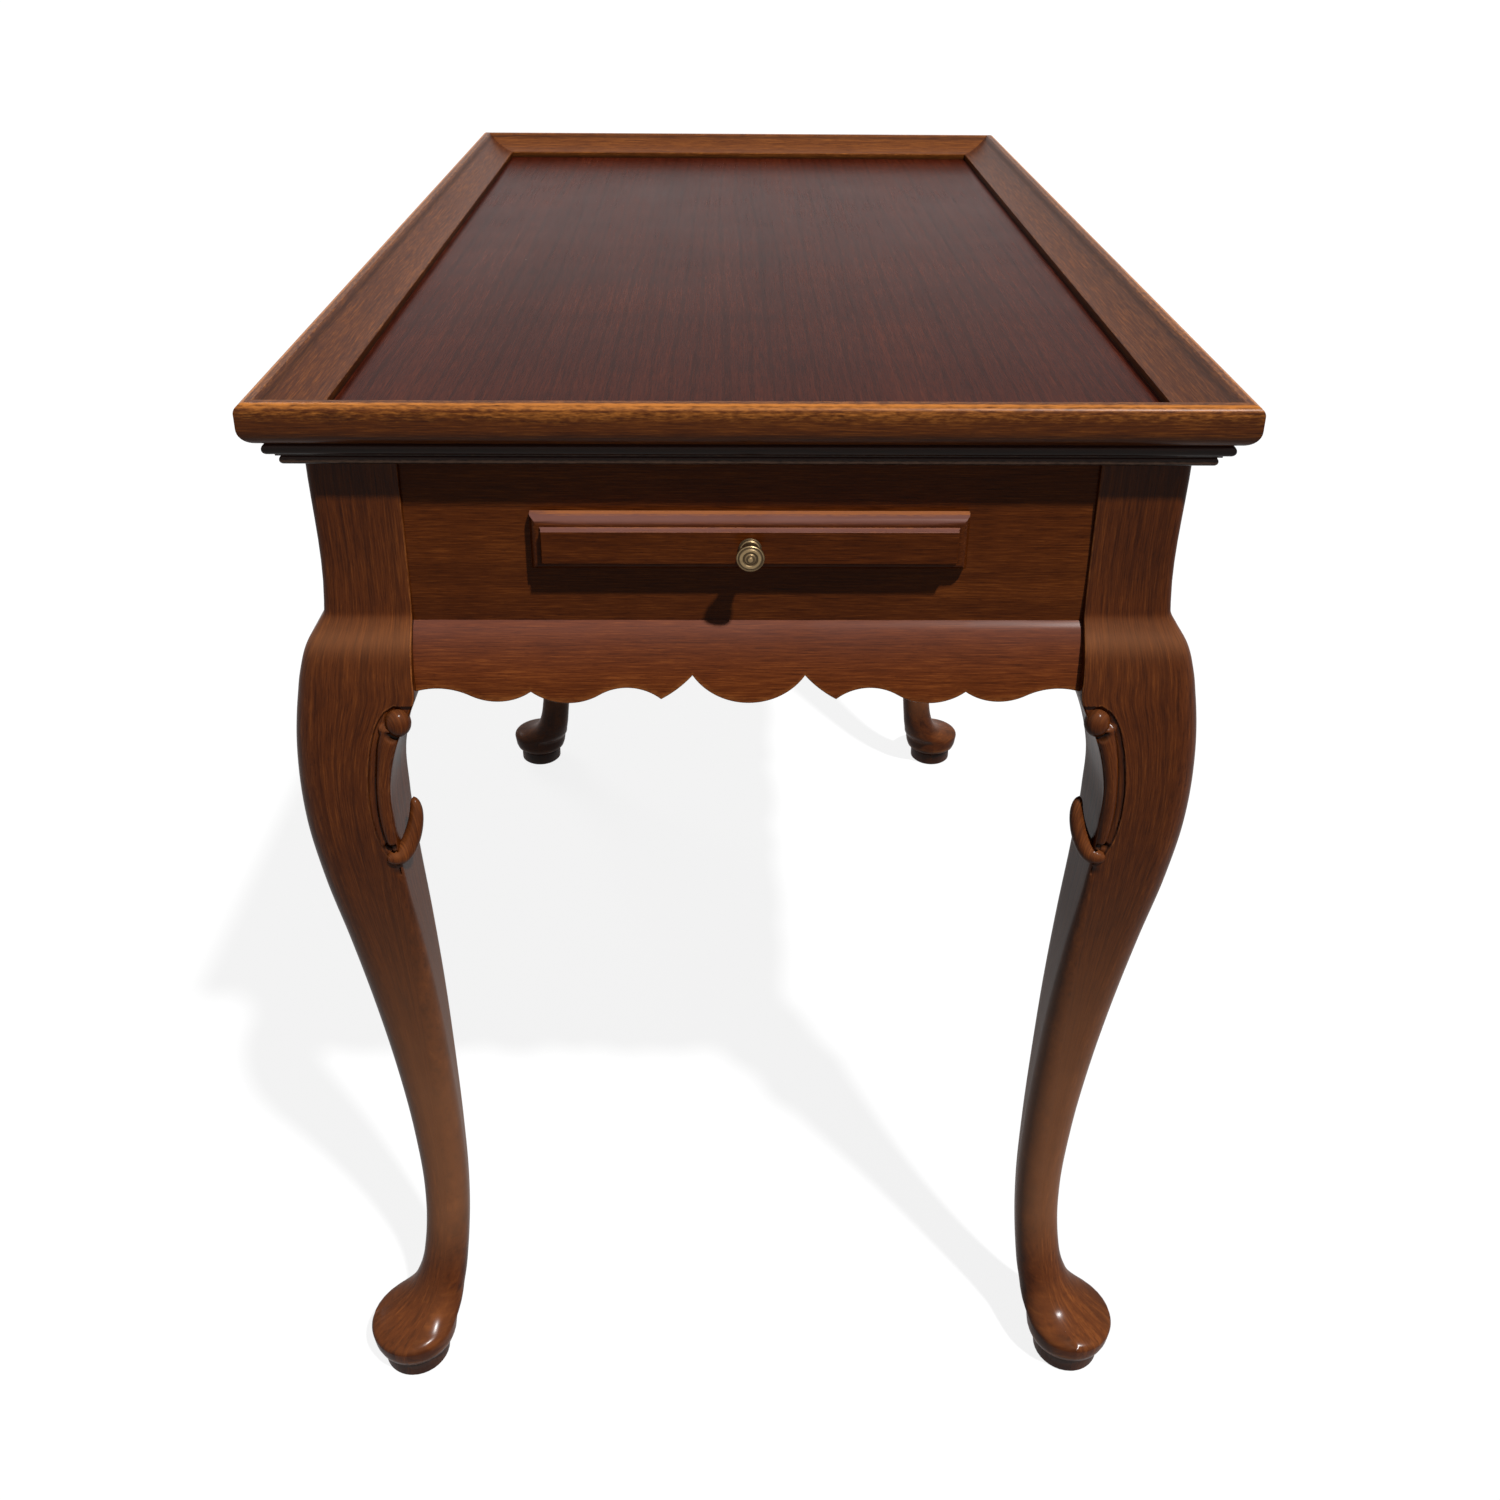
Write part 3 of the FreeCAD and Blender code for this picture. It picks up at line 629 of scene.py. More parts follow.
brassFinish = dict(
    cloudScale=260.0,
    grainScale=2600.0,
    bright=(0.25, 0.175, 0.09, 1),
    dull=(0.08, 0.054, 0.03, 1),
    sheen=0.28,
    filmRough=0.3,
    grainRough=0.1,
    relief=0.02,
)
steelFinish = dict(
    brassFinish,
    cloudScale=300.0,
    grainScale=2400.0,
    bright=(0.42, 0.42, 0.41, 1),
    dull=(0.16, 0.15, 0.14, 1),
    sheen=0.3,
)
brass = agedMetal("agedBrass", brassFinish)
steel = agedMetal("screwSteel", steelFinish)
print("materials ready")

# mouldings of the top, each a profile carried along one side and mitred at both ends
rim = dict(
    width=31.0,
    lipWidth=7.5,
    lipRound=4.6,
    underRound=10.0,
    step=5.0,
    coveSag=2.3,
    arris=0.6,
    stations=26,
    # inset, drop from the top, strength; the wear marks also paint the highlight on the nose's upper round,
    # the lip and the inner arris, and the grime marks paint shade at the step down to the panel and at the
    # foot of the lip
    wear_and_highlight=((0.0, 8.0, 0.22), (0.0, 6.0, 0.32), (0.1, 4.0, 0.46), (1.3, 1.4, 0.7), (3.0, 0.3, 0.95),
          (7.5, 0.0, 0.35), (31.0, 13.0, 0.3)),
    grime=((31.0, 18.0, 1.0), (10.5, 1.8, 0.8)),
    spread=1.5,
)
cornice = dict(
    inset=8.0,
    stepInset=14.0,
    beadHeight=6.5,
    fillet=1.5,
    back=23.0,
    stations=14,
    # wear marks that paint highlight lines on the bead's foot and on the step's edges
    wear_and_highlight=((12.2, 28.9, 1.0), (14.0, 33.5, 1.0), (16.0, 35.4, 1.0)),
    # darker along its top, against the rim's underside
    grime=((17.0, 22.2, 1.0),),
    spread=0.9,
)


def rimProfile():
    # inset from the edge and height: under side, bullnose, lip, cove sagging below its chord, inner drop
    lip, under, width = rim["lipRound"], rim["underRound"], rim["width"]
    stepTop = panelTop + rim["step"]
    nose = np.concatenate([
        arcPoints((under, rimBottom + under), under, 270, 180, 14),
        arcPoints((lip, topHeight - lip), lip, 180, 90, 12),
    ])
    t = np.linspace(0, 1, 22)[:, None]
    start = np.array([rim["lipWidth"], topHeight])
    stop = np.array([width - rim["arris"], stepTop])
    cove = start + (stop - start) * t + np.array([0, -1]) * (4 * rim["coveSag"] * t * (1 - t))
    drop = np.array([[width, stepTop - rim["arris"]], [width, panelTop], [width, rimBottom]])
    return np.concatenate([nose, cove, drop])


def corniceProfile():
    # round bead above, thin fillet, round-nosed step below
    bead, fillet = cornice["beadHeight"] / 2, cornice["fillet"]
    foot = rimBottom - cornice["beadHeight"]
    nose = (foot - fillet - frameTop) / 2
    middle = cornice["inset"] + bead
    return np.concatenate([
        [[cornice["back"], rimBottom]],
        arcPoints((middle, rimBottom - bead), bead, 90, 270, 15),
        [[middle + fillet, foot], [middle + fillet, foot - fillet]],
        arcPoints((cornice["stepInset"] + nose, frameTop + nose), nose, 90, 270, 13),
        [[cornice["back"], frameTop]],
    ])


def mitredMoulding(side, profile, stations):
    # along = share of the way times what the mitre leaves of the side at each inset
    share = np.linspace(-1, 1, stations)[:, None]
    inset, height = profile[None, :, 0], profile[None, :, 1]
    return shell(place(side, share * (side["half"] - inset), side["edge"] - inset, height))


def mouldingMasks(profile, shape):
    # wear and grime fall off with the distance from marked places of the profile
    def near(marks):
        inset, drop, strength = np.array(marks).T[:, None, :]
        gap = np.hypot(profile[:, :1] - inset, profile[:, 1:] - (topHeight - drop))
        return np.tile((strength * bump(gap, 0, shape["spread"])).max(1), shape["stations"])
    return {"wear_and_highlight": near(shape["wear_and_highlight"]), "grime": near(shape["grime"])}


rimLine, corniceLine = rimProfile(), corniceProfile()
rimMasks, corniceMasks = mouldingMasks(rimLine, rim), mouldingMasks(corniceLine, cornice)
for side in sides:
    name, way = side["name"], side["grain"]
    wood = rimBackLitWood if name == "back" else rimWood[way]
    mesh = mitredMoulding(side, rimLine, rim["stations"])
    addPiece("rim_" + name, [mesh], wood, "table", masks=rimMasks)
    mesh = mitredMoulding(side, corniceLine, cornice["stations"])
    addPiece("cornice_" + name, [mesh], corniceShadedWood[way], "table", masks=corniceMasks)
print("rim and cornice made")

# cabriole legs
leg = dict(
    # height, stand-out of the outer faces from the post, depth of the inner faces,
    # rounding shares of the outer, side and inner corners
    rows=(
        (29.5, 28.0, 28.0, 0.5, 0.5, 0.5),
        (31.6, 27.0, 28.5, 0.5, 0.5, 0.5),
        (33.6, 24.0, 29.2, 0.5, 0.5, 0.5),
        (35.8, 18.8, 30.2, 0.5, 0.5, 0.5),
        (40.0, 10.6, 31.2, 0.5, 0.49, 0.49),
        (46.0, 3.4, 32.0, 0.49, 0.48, 0.48),
        (54.0, -1.4, 33.4, 0.48, 0.47, 0.47),
        (66.0, -5.4, 34.8, 0.47, 0.46, 0.46),
        (80.0, -7.9, 36.2, 0.46, 0.45, 0.45),
        (100.0, -10.0, 37.8, 0.46, 0.44, 0.44),
        (125.0, -10.9, 39.1, 0.46, 0.43, 0.44),
        (180.0, -9.0, 39.6, 0.45, 0.4, 0.42),
        (240.0, -4.1, 38.6, 0.42, 0.32, 0.36),
        (295.0, 2.1, 37.2, 0.39, 0.24, 0.32),
        (350.0, 9.3, 34.7, 0.35, 0.15, 0.27),
        (400.0, 16.5, 31.6, 0.32, 0.07, 0.21),
        (440.0, 20.3, 30.0, 0.3, 0.03, 0.19),
        (470.0, 20.7, 30.6, 0.29, 0.03, 0.16),
        (495.0, 19.2, 37.0, 0.25, 0.03, 0.13),
        (508.0, 17.6, 43.0, 0.22, 0.025, 0.11),
        (516.0, 16.4, 46.0, 0.21, 0.02, 0.1),
        (529.0, 13.9, 46.0, 0.19, 0.02, 0.09),
        (545.0, 8.7, 46.0, 0.17, 0.02, 0.06),
        (553.0, 3.6, 46.0, 0.15, 0.02, 0.03),
        (559.0, 0.3, 46.0, 0.13, 0.02, 0.02),
        (562.0, 0.0, 46.0, 0.13, 0.02, 0.02),
        (644.5, 0.0, 46.0, 0.13, 0.02, 0.02),
    ),
    # heights between which rows of points are evenly spaced, and how many; closest at foot and carving
    stops=(29.5, 46.0, 125.0, 405.0, 518.0, 565.0, 644.5),
    counts=(29, 25, 49, 213, 33, 7),
    # across an outer face: wide apart up to this share of it, and close over the carving
    widePoints=16,
    wideShare=0.45,
    closePoints=54,
    innerPoints=14,
    outerCornerPoints=18,
    sideCornerPoints=10,
    innerCornerPoints=12,
    # pad from the floor up to the wall's crest, as radii with their heights
    pad=((0.0, 0.0), (19.8, 0.0), (21.0, 1.2), (21.0, 11.7), (21.4, 12.5), (24.1, 16.0), (25.5, 17.0),
         (26.9, 21.0), (27.5, 25.0), (27.9, 28.2)),
    padWear=((6, 8, 0.5),),
    padGrime=((3, 6, 0.8),),
    carved=(405.0, 518.0),
    # narrow quirk behind the arris: distance from the face, half width, depth, heights of its ends
    quirk=(2.6, 0.75, 0.9, (446, 458), (492, 499)),
    # above this height, painted shade in the seams beside the post, from and to the face, and wear that also
    # paints a highlight on its arris
    postFrom=512.0,
    postSeamShade=(1.2, 5.0, 0.9),
    postArris=(0.75, 0.5),
    # painted sheen on shins and top of the knee: strength, then heights
    shinSheen=(0.5, (55, 120), (180, 440)),
    kneeSheen=(0.2, 548.0, 6.5),
    footWear=(0.2, (44, 90)),
    ballWear=0.05,
    tongueWear=0.2,
    grainShift=0.31,
)
scroll = dict(
    # places on an outer face: distance from the post's outer corner and height
    groove=((36.5, 411.2), (32.0, 412.6), (28.2, 415.2), (23.9, 422.9), (20.8, 432.5), (19.1, 444.2),
            (18.5, 458.0), (19.3, 471.5), (21.0, 484.3), (23.7, 496.9), (27.2, 505.9), (31.0, 511.0),
            (36.0, 514.2)),
    bar=((26.3, 425.0), (24.1, 431.5), (22.4, 442.4), (21.9, 453.4), (22.4, 467.1), (23.6, 480.1),
         (25.3, 492.8), (26.6, 498.0)),
    grooveDepth=2.1,
    sheerShare=0.35,
    wallWidth=3.2,
    barCrest=1.5,
    barTop=501.5,
    barFoot=425.0,
    # distance from the outer line, width, strength: painted shade along the groove's lines, and wear that
    # also paints a highlight just outside it
    outerGrime=(0.0, 0.45, 0.75),
    innerGrime=(3.1, 0.5, 0.9),
    outerWearAndHighlight=(-0.8, 0.5, 0.45),
    # strength of wear on the inner arris, where it also paints the arris's highlight, and on the bar's crest
    arrisWearAndHighlight=0.4,
    crestWear=0.22,
    # place, half sizes, tilt, depth, and the painted shade of the hollow
    hollows=(
        ((34.0, 497.0), (3.6, 2.1), -0.6, 3.2, 1.4),
        ((26.9, 427.4), (4.2, 1.9), 0.16, 2.4, 1.5),
        ((32.0, 409.6), (4.6, 3.4), 0.0, 1.8, 1.1),
    ),
    ballPlace=(36.8, 503.8),
    ballSize=(6.8, 6.2, 8.0),
    ballFace=18.0,
    ballRelief=3.6,
    # distance from the corner, depth behind the face, height, radius
    tongue=((23.6, 1.6, 421.4, 2.6), (27.0, 1.6, 419.6, 4.4), (31.4, 3.6, 420.2, 5.1),
            (35.4, 7.2, 426.0, 4.9), (38.2, 10.6, 434.6, 4.4), (39.2, 13.4, 443.0, 3.5),
            (38.0, 15.6, 450.5, 2.0)),
)


def legHeights():
    # evenly spaced rows from each stop to the next
    stops = leg["stops"]
    runs = [np.linspace(*span, endpoint=False) for span in zip(stops[:-1], stops[1:], leg["counts"])]
    return np.concatenate(runs + [stops[-1:]])


def legSection(heights):
    # round each height: outer corner, face, side corner, inner face, inner corner,
    # and on by inner face, side corner and face
    places, *rows = np.array(leg["rows"]).T
    out, depth, outerShare, sideShare, innerShare = [smoothThrough(heights, places, row) for row in rows]
    size = out + depth
    quarter = np.pi / 2
    cornerRows = [  # place, rounding, points
        (out, out, size * outerShare, leg["outerCornerPoints"]),
        (-depth, out, size * sideShare, leg["sideCornerPoints"]),
        (-depth, -depth, size * innerShare, leg["innerCornerPoints"]),
        (out, -depth, size * sideShare, leg["sideCornerPoints"]),
    ]
    arcs = []
    for index, (x, y, radius, count) in enumerate(cornerRows):
        start = index * quarter
        turn = start + np.linspace(0, quarter, count)[None, :]
        centreX = x - radius * np.sign(np.cos(start + quarter / 2))
        centreY = y - radius * np.sign(np.sin(start + quarter / 2))
        arcs.append(np.stack([centreX[:, None] + radius[:, None] * np.cos(turn),
                              centreY[:, None] + radius[:, None] * np.sin(turn)], -1))
    wide, close = (0, leg["wideShare"], leg["widePoints"]), (leg["wideShare"], 1, leg["closePoints"])
    dense = np.concatenate([np.linspace(*wide, endpoint=False), np.linspace(*close)])
    plain = np.linspace(0, 1, leg["innerPoints"])
    ring = []
    for index, share in enumerate((dense, plain, plain, 1 - dense[::-1])):
        one, two = arcs[index][:, -1:], arcs[(index + 1) % 4][:, :1]
        ring += [arcs[index], (one + (two - one) * share[None, :, None])[:, 1:-1]]
    return np.concatenate(ring, 1), out, depth


def legFlow(points):
    # X: way down each column of the leg; Y: way round it at the post, from the outer corner to both sides
    down = np.linalg.norm(np.diff(points, axis=0), axis=2)
    down = np.concatenate([np.cumsum(down[::-1], axis=0)[::-1], np.zeros((1, points.shape[1]))])
    top = points[-1]
    around = np.concatenate([[0], np.cumsum(np.linalg.norm(np.diff(top, axis=0), axis=1))])
    total = around[-1] + np.linalg.norm(top[0] - top[-1])
    around = np.where(around > total / 2, around - total, around)
    return np.stack([down, np.broadcast_to(around, down.shape), np.zeros_like(down)], -1)


def curveDistance(points, line):
    # least distance from each point to a fine polyline laid through the line's places
    line = np.array(line)
    step = np.concatenate([[0], np.cumsum(np.hypot(*np.diff(line, axis=0).T))])
    fine = np.linspace(0, step[-1], 220)
    path = np.stack([smoothThrough(fine, step, line[:, 0]), smoothThrough(fine, step, line[:, 1])], 1)
    return np.sqrt(((points[:, None, :] - path[None, :, :]) ** 2).sum(-1)).min(1)


def dimple(along, height, place, half, tilt):
    # a smooth hollow: 1 in the middle of a tilted oval, 0 outside it
    u = (along - place[0]) * math.cos(tilt) + (height - place[1]) * math.sin(tilt)
    v = (height - place[1]) * math.cos(tilt) - (along - place[0]) * math.sin(tilt)
    return np.exp(-((u / half[0]) ** 2 + (v / half[1]) ** 2) ** 1.5)


def lineAt(height, line):
    # distance from the corner of a line of places, at each height
    return smoothThrough(np.clip(height, line[0, 1], line[-1, 1]), line[:, 1], line[:, 0])


def carve(along, height, inner):
    # relief of an outer face: a wall sloping in from the outer line,
    # then a half-round bar up to the inner arris
    groove, bar = np.array(scroll["groove"])[1:], np.array(scroll["bar"])
    inside = (along > lineAt(height, groove)) & (height > groove[0, 1]) & (height < groove[-1, 1])
    gap = curveDistance(np.stack([along, height], 1), scroll["groove"])
    gap = np.where(inside, gap, -gap)
    wall = np.clip(gap / scroll["wallWidth"], 0, 1)
    sheer = scroll["sheerShare"]
    floor = (smoothStep(-0.25, 0.35, gap) * sheer + (1 - sheer) * wall) * scroll["grooveDepth"]
    edge = lineAt(height, bar)
    share = (along - edge) / np.maximum(inner - edge, 1.0)
    arch = np.sqrt(np.clip(1 - (2 * share - 1) ** 2, 0, 1)) * (share > 0)
    foot, top = scroll["barFoot"], scroll["barTop"]
    ends = smoothStep(foot - 1.0, foot + 1.0, height) * (1 - smoothStep(top - 1.0, top + 3.0, height))
    rise = arch * ends * (scroll["grooveDepth"] + scroll["barCrest"])

    def line(key):
        middle, width, strength = scroll[key]
        return strength * bump(gap, middle, width)

    # the groove's lines and the hollows are darkened: painted shade
    grime = line("outerGrime") + line("innerGrime") * (share < 0.12) * (gap > 0)
    sink = 0
    for spot, half, tilt, depth, dirt_and_shade in scroll["hollows"]:
        hollow = dimple(along, height, spot, half, tilt)
        sink = sink + hollow * depth
        grime = grime + hollow * dirt_and_shade
    grime = np.clip(grime, 0, 1)
    # wear on the inner arris also paints its highlight
    wear_and_highlight = (scroll["arrisWearAndHighlight"] * smoothStep(0.8, 0.98, share) + scroll["crestWear"] * arch ** 3) * ends
    wear_and_highlight = np.maximum(wear_and_highlight, line("outerWearAndHighlight")) * (1 - grime)
    return rise - floor - sink, wear_and_highlight, grime


def plainLeg():
    # leg with its post's outer corner on the axis, faces towards plus X and plus Y, in millimetres
    heights = legHeights()
    ring, out, depth = legSection(heights)
    out, depth = out[:, None], depth[:, None]
    height = np.broadcast_to(heights[:, None], ring.shape[:2])
    inner = np.broadcast_to(depth, height.shape)
    x, y = ring[..., 0].copy(), ring[..., 1].copy()
    strength, span = leg["footWear"]
    wear_and_highlight, grime = strength * (1 - smoothStep(*span, height)), np.zeros_like(x)
    knee = (height > leg["carved"][0]) & (height < leg["carved"][1])
    inset, width, sunk, foot, head = leg["quirk"]
    for first, second in ((x, y), (y, x)):
        face = knee & (second > out - 0.4) & (first < out - 6)
        relieved, rub, dirt_and_shade = carve(-first[face], height[face], inner[face])
        second[face] += relieved
        wear_and_highlight[face] = np.maximum(wear_and_highlight[face], rub)
        grime[face] = np.maximum(grime[face], dirt_and_shade)
        back = knee & (first < 1.0 - depth) & (second < out - 0.4)
        quirk = bump(out - second, inset, width) * smoothStep(*foot, height) * (1 - smoothStep(*head, height))
        quirk = np.where(back, quirk, 0.0)
        first += quirk * sunk
        # the quirk is darkened: painted shade
        grime = np.maximum(grime, quirk)
    post = height > leg["postFrom"]
    near, far, seamShade = leg["postSeamShade"]
    arris, wornAndLit = leg["postArris"]
    # painted shade in the seam beside the post, and a painted highlight on its arris
    for first, second in ((ring[..., 0], ring[..., 1]), (ring[..., 1], ring[..., 0])):
        beside = post & (first < 0.2 - depth) & (second > out - far) & (second < out - near)
        grime[beside] = np.maximum(grime[beside], seamShade)
        wear_and_highlight[post & (first < arris - depth) & (second > out - arris)] = wornAndLit
    pad = np.array(leg["pad"])
    turn = np.arctan2(ring[0, :, 1], ring[0, :, 0])
    radius, level = pad[:, None, 0], np.broadcast_to(pad[:, None, 1], (len(pad), len(turn)))
    lower = np.stack([radius * np.cos(turn), radius * np.sin(turn), level], -1)
    rub, dirt_and_shade = rowMask(level.shape, leg["padWear"]), rowMask(level.shape, leg["padGrime"])
    flow = legFlow(np.concatenate([lower, np.concatenate([ring, height[..., None]], -1)]))
    points = np.concatenate([lower, np.stack([x, y, height], -1)])
    return points, np.concatenate([rub, wear_and_highlight]), np.concatenate([dirt_and_shade, grime]), flow


def scrollBall():
    # ellipsoid: cosine and sine of latitude and longitude times its three half sizes
    lat = np.radians(np.linspace(-89, 89, 22))[:, None]
    lon = roundTurn(32)[None, :]
    along, out, high = scroll["ballSize"]
    away = scroll["ballFace"] + scroll["ballRelief"] - out
    x = -scroll["ballPlace"][0] + along * np.cos(lat) * np.cos(lon)
    y = away + out * np.cos(lat) * np.sin(lon)
    z = scroll["ballPlace"][1] + high * np.sin(lat) + 0 * lon
    return np.stack([x, y, z], -1)


def scrollTongue():
    # a round of changing radius carried along a smooth path, each ring square to the path
    rows = np.array(scroll["tongue"])
    step = np.arange(len(rows))
    t = np.linspace(0, len(rows) - 1, 46)
    knee = np.array(leg["rows"])
    away = np.interp(rows[:, 2], knee[:, 0], knee[:, 1])
    path = np.stack([-smoothThrough(t, step, rows[:, 0]), smoothThrough(t, step, away - rows[:, 1]),
                     smoothThrough(t, step, rows[:, 2])], 1)
    end = np.clip(np.minimum(t, len(rows) - 1 - t) / 0.55, 0, 1)
    radius = smoothThrough(t, step, rows[:, 3]) * np.sqrt(np.clip(1 - (1 - end) ** 2, 0.004, 1))
    way = np.gradient(path, axis=0)
    way /= np.linalg.norm(way, axis=1)[:, None]
    across = np.cross(way, np.array([0.0, 1.0, 0.0]))
    across /= np.linalg.norm(across, axis=1)[:, None]
    lift = np.cross(across, way)
    turn = roundTurn(24)[None, :, None]
    return path[:, None] + radius[:, None, None] * (
        np.cos(turn) * across[:, None] + np.sin(turn) * lift[:, None])


def mirroredOver(points):
    # the same form on the other outer face, with X and Y changed over
    return points[..., [1, 0, 2]]


body, legWearAndHighlight, legGrime, legGrain = plainLeg()
ball, tongue = scrollBall(), scrollTongue()
carvings = [ball, tongue, mirroredOver(ball), mirroredOver(tongue)]
parts = [body] + carvings
grain = [legGrain] + [
    np.stack([-part[..., 2], part[..., 0] + part[..., 1], 0 * part[..., 2]], -1) for part in carvings]
grain = np.concatenate([part.reshape(-1, 3) for part in grain]) * mm
level = np.concatenate([part[..., 2].ravel() for part in parts])
# painted sheen down the shins and across the top of the knee
strength, rises, falls = leg["shinSheen"]
painted_sheen = strength * smoothStep(*rises, level) * (1 - smoothStep(*falls, level))
strength, middle, width = leg["kneeSheen"]
painted_sheen = painted_sheen + strength * bump(level, middle, width)
carvingWear = [np.full(ball.shape[:2], leg["ballWear"]), np.full(tongue.shape[:2], leg["tongueWear"])] * 2
legMasks = {
    "wear_and_highlight": np.concatenate([part.ravel() for part in [legWearAndHighlight] + carvingWear]),
    "grime": np.concatenate([legGrime.ravel()] + [np.zeros(part.size) for part in carvingWear]),
    "painted_sheen": painted_sheen,
}
for name, wayX, wayY in corners:
    turned = [np.stack([(part[..., 0] + postX) * wayX, (part[..., 1] + postY) * wayY, part[..., 2]], -1)
              for part in parts]
    # each leg is cut from another place of the grain
    shifted = grain + np.array([0.0, leg["grainShift"] * (wayX + 2 * wayY), 0.0])
    addPiece("leg_" + name, [shell(part) for part in turned], legWood, "table", sharpAngle=48,
             masks=dict(legMasks, flow=shifted))
print("legs made")

# scalloped skirts
skirt = dict(
    swell=13.0,
    scallop=15.5,
    arris=0.9,
    faceShares=((0.0, 1.0), (0.5, 0.79), (1.0, 0.0)),  # height and stand-out
    # lower edge from the middle outwards: places, then heights in scallops; each run ends in a point
    lobe=((-0.169, 1.0), (0.0, 0.0), (0.169, 1.0)),
    runs=(
        ((0.169, 1.0), (0.213, 0.53), (0.264, 0.14)),
        ((0.264, 0.14), (0.345, 0.54), (0.45, 0.29), (0.655, 0.41)),
        ((0.655, 0.41), (0.742, 0.05), (0.837, 0.26), (1.0, 0.42)),
    ),
    pointsPerArc=18,
    faceRows=16,
    roundRows=4,
    wear_and_highlight=((14, 15, 0.25), (15, 19, 0.6)),  # rows down the face and round the arris
)


def circleThrough(one, two, three):
    # centre and radius from the two perpendicular bisectors
    a, b = two - one, three - one
    d = 2 * (a[0] * b[1] - a[1] * b[0])
    centre = one + np.array([b[1] * a.dot(a) - a[1] * b.dot(b), a[0] * b.dot(b) - b[0] * a.dot(a)]) / d
    return centre, np.hypot(*(one - centre))


def onCircle(x, centre, radius, through):
    # height of the circle over x, on the side where the given point lies
    return centre[1] + np.sign(through[1] - centre[1]) * np.sqrt(
        np.maximum(radius ** 2 - (x - centre[0]) ** 2, 0))


def lowerEdge(halfSpan):
    # arcs through three places, and where a run has a fourth an arc that leaves the last one smoothly
    def real(row):
        return np.array([row[0] * halfSpan, skirtBottom + skirt["scallop"] * row[1]])

    xs, zs = [], []

    def addArc(start, stop, centre, radius, through):
        x = np.linspace(start, stop, skirt["pointsPerArc"])[:-1]
        xs.append(x)
        zs.append(onCircle(x, centre, radius, through))

    lobe = [real(row) for row in skirt["lobe"]]
    addArc(0, lobe[2][0], *circleThrough(*lobe), lobe[1])
    for run in skirt["runs"]:
        places = [real(row) for row in run]
        centre, radius = circleThrough(*places[:3])
        addArc(places[0][0], places[2][0], centre, radius, places[1])
        if len(places) > 3:
            start, stop = places[2], places[3]
            spoke = (start - centre) / radius
            chord = stop - start
            reach = chord.dot(chord) / (2 * chord.dot(spoke))
            centre, middle = start + spoke * reach, (start + stop) / 2
            addArc(start[0], stop[0], centre, abs(reach), middle - (centre - middle) * 0.01)
    xs.append([halfSpan])
    zs.append([real(skirt["runs"][-1][-1])[1]])
    x, z = np.concatenate(xs), np.concatenate(zs)
    return np.concatenate([-x[:0:-1], x]), np.concatenate([z[:0:-1], z])


def skirtShell(side):
    # at each place along: down the swelled face, round the lower arris, back under and up the flat back
    along, low = lowerEdge(side["span"])
    top, arris, face = apronBottom, skirt["arris"], side["face"]
    share = np.linspace(0, 1, skirt["faceRows"])[None, :]
    height = top + (low[:, None] + arris - top) * share
    centre, radius = circleThrough(*np.array(skirt["faceShares"]))
    level = (height - skirtBottom) / table["skirtDepth"]
    swell = centre[1] + np.sqrt(np.maximum(radius ** 2 - (level - centre[0]) ** 2, 0))
    out = face + skirt["swell"] * swell
    turn = np.radians(np.linspace(0, 90, skirt["roundRows"] + 1))[None, 1:]
    roundOut = out[:, -1:] - arris * (1 - np.cos(turn))
    roundHigh = low[:, None] + arris * (1 - np.sin(turn))
    backOut = np.full((len(along), 2), face - table["apronThickness"])
    backHigh = np.stack([low, np.full_like(low, top)], 1)
    outs = np.concatenate([out, roundOut, backOut], 1)
    highs = np.concatenate([height, roundHigh, backHigh], 1)
    wear_and_highlight = rowMask(outs.T.shape, skirt["wear_and_highlight"]).T
    return shell(place(side, along[:, None], outs, highs)), {"wear_and_highlight": wear_and_highlight.ravel()}


for side in sides:
    mesh, masks = skirtShell(side)
    addPiece("skirt_" + side["name"], [mesh], skirtWood[side["grain"]], "table", masks=masks)
print("skirts made")

# candle slides
slide = dict(
    width=220.0,
    height=30.0,
    thickness=12.6,
    edge=3.2,
    ovolo=5.3,
    fillet=0.9,
    bevel=6.2,
    bevelSag=0.6,
    gap=0.3,
    sidePoints=14,
    # rows of the profile from and up to, and strength; the wear on the fillet's rows paints a highlight line
    wear_and_highlight=((1, 4, 1.0), (4, 6, 0.4), (14, 17, 0.45), (-4, -1, 0.3)),
    grime=((13, 14, 0.3),),
    lowerWear=0.35,
)
knob = dict(
    # radius and distance from the slide's front
    profile=((0.0, 0.0), (5.5, 0.0), (5.7, 0.4), (5.7, 1.1), (5.35, 1.5), (5.3, 1.9), (5.05, 2.3),
             (4.6, 2.6), (4.3, 3.4), (4.2, 5.0), (4.5, 6.8), (5.3, 8.5), (6.4, 9.8), (6.95, 10.8),
             (7.05, 11.8), (6.9, 12.5), (6.5, 12.9), (6.1, 12.85), (5.85, 12.65), (5.6, 12.8),
             (5.0, 13.25), (4.4, 13.4), (3.9, 13.25), (3.5, 12.8), (3.2, 12.7), (2.9, 12.85),
             (2.3, 13.35), (1.75, 13.4), (1.6, 13.5), (1.3, 14.0), (0.7, 14.35), (0.0, 14.45)),
    grooves=((5.85, 12.65), (3.3, 12.7), (1.7, 13.4), (4.2, 4.6), (5.3, 1.7)),
    grooveSpread=0.55,
    around=72,
)


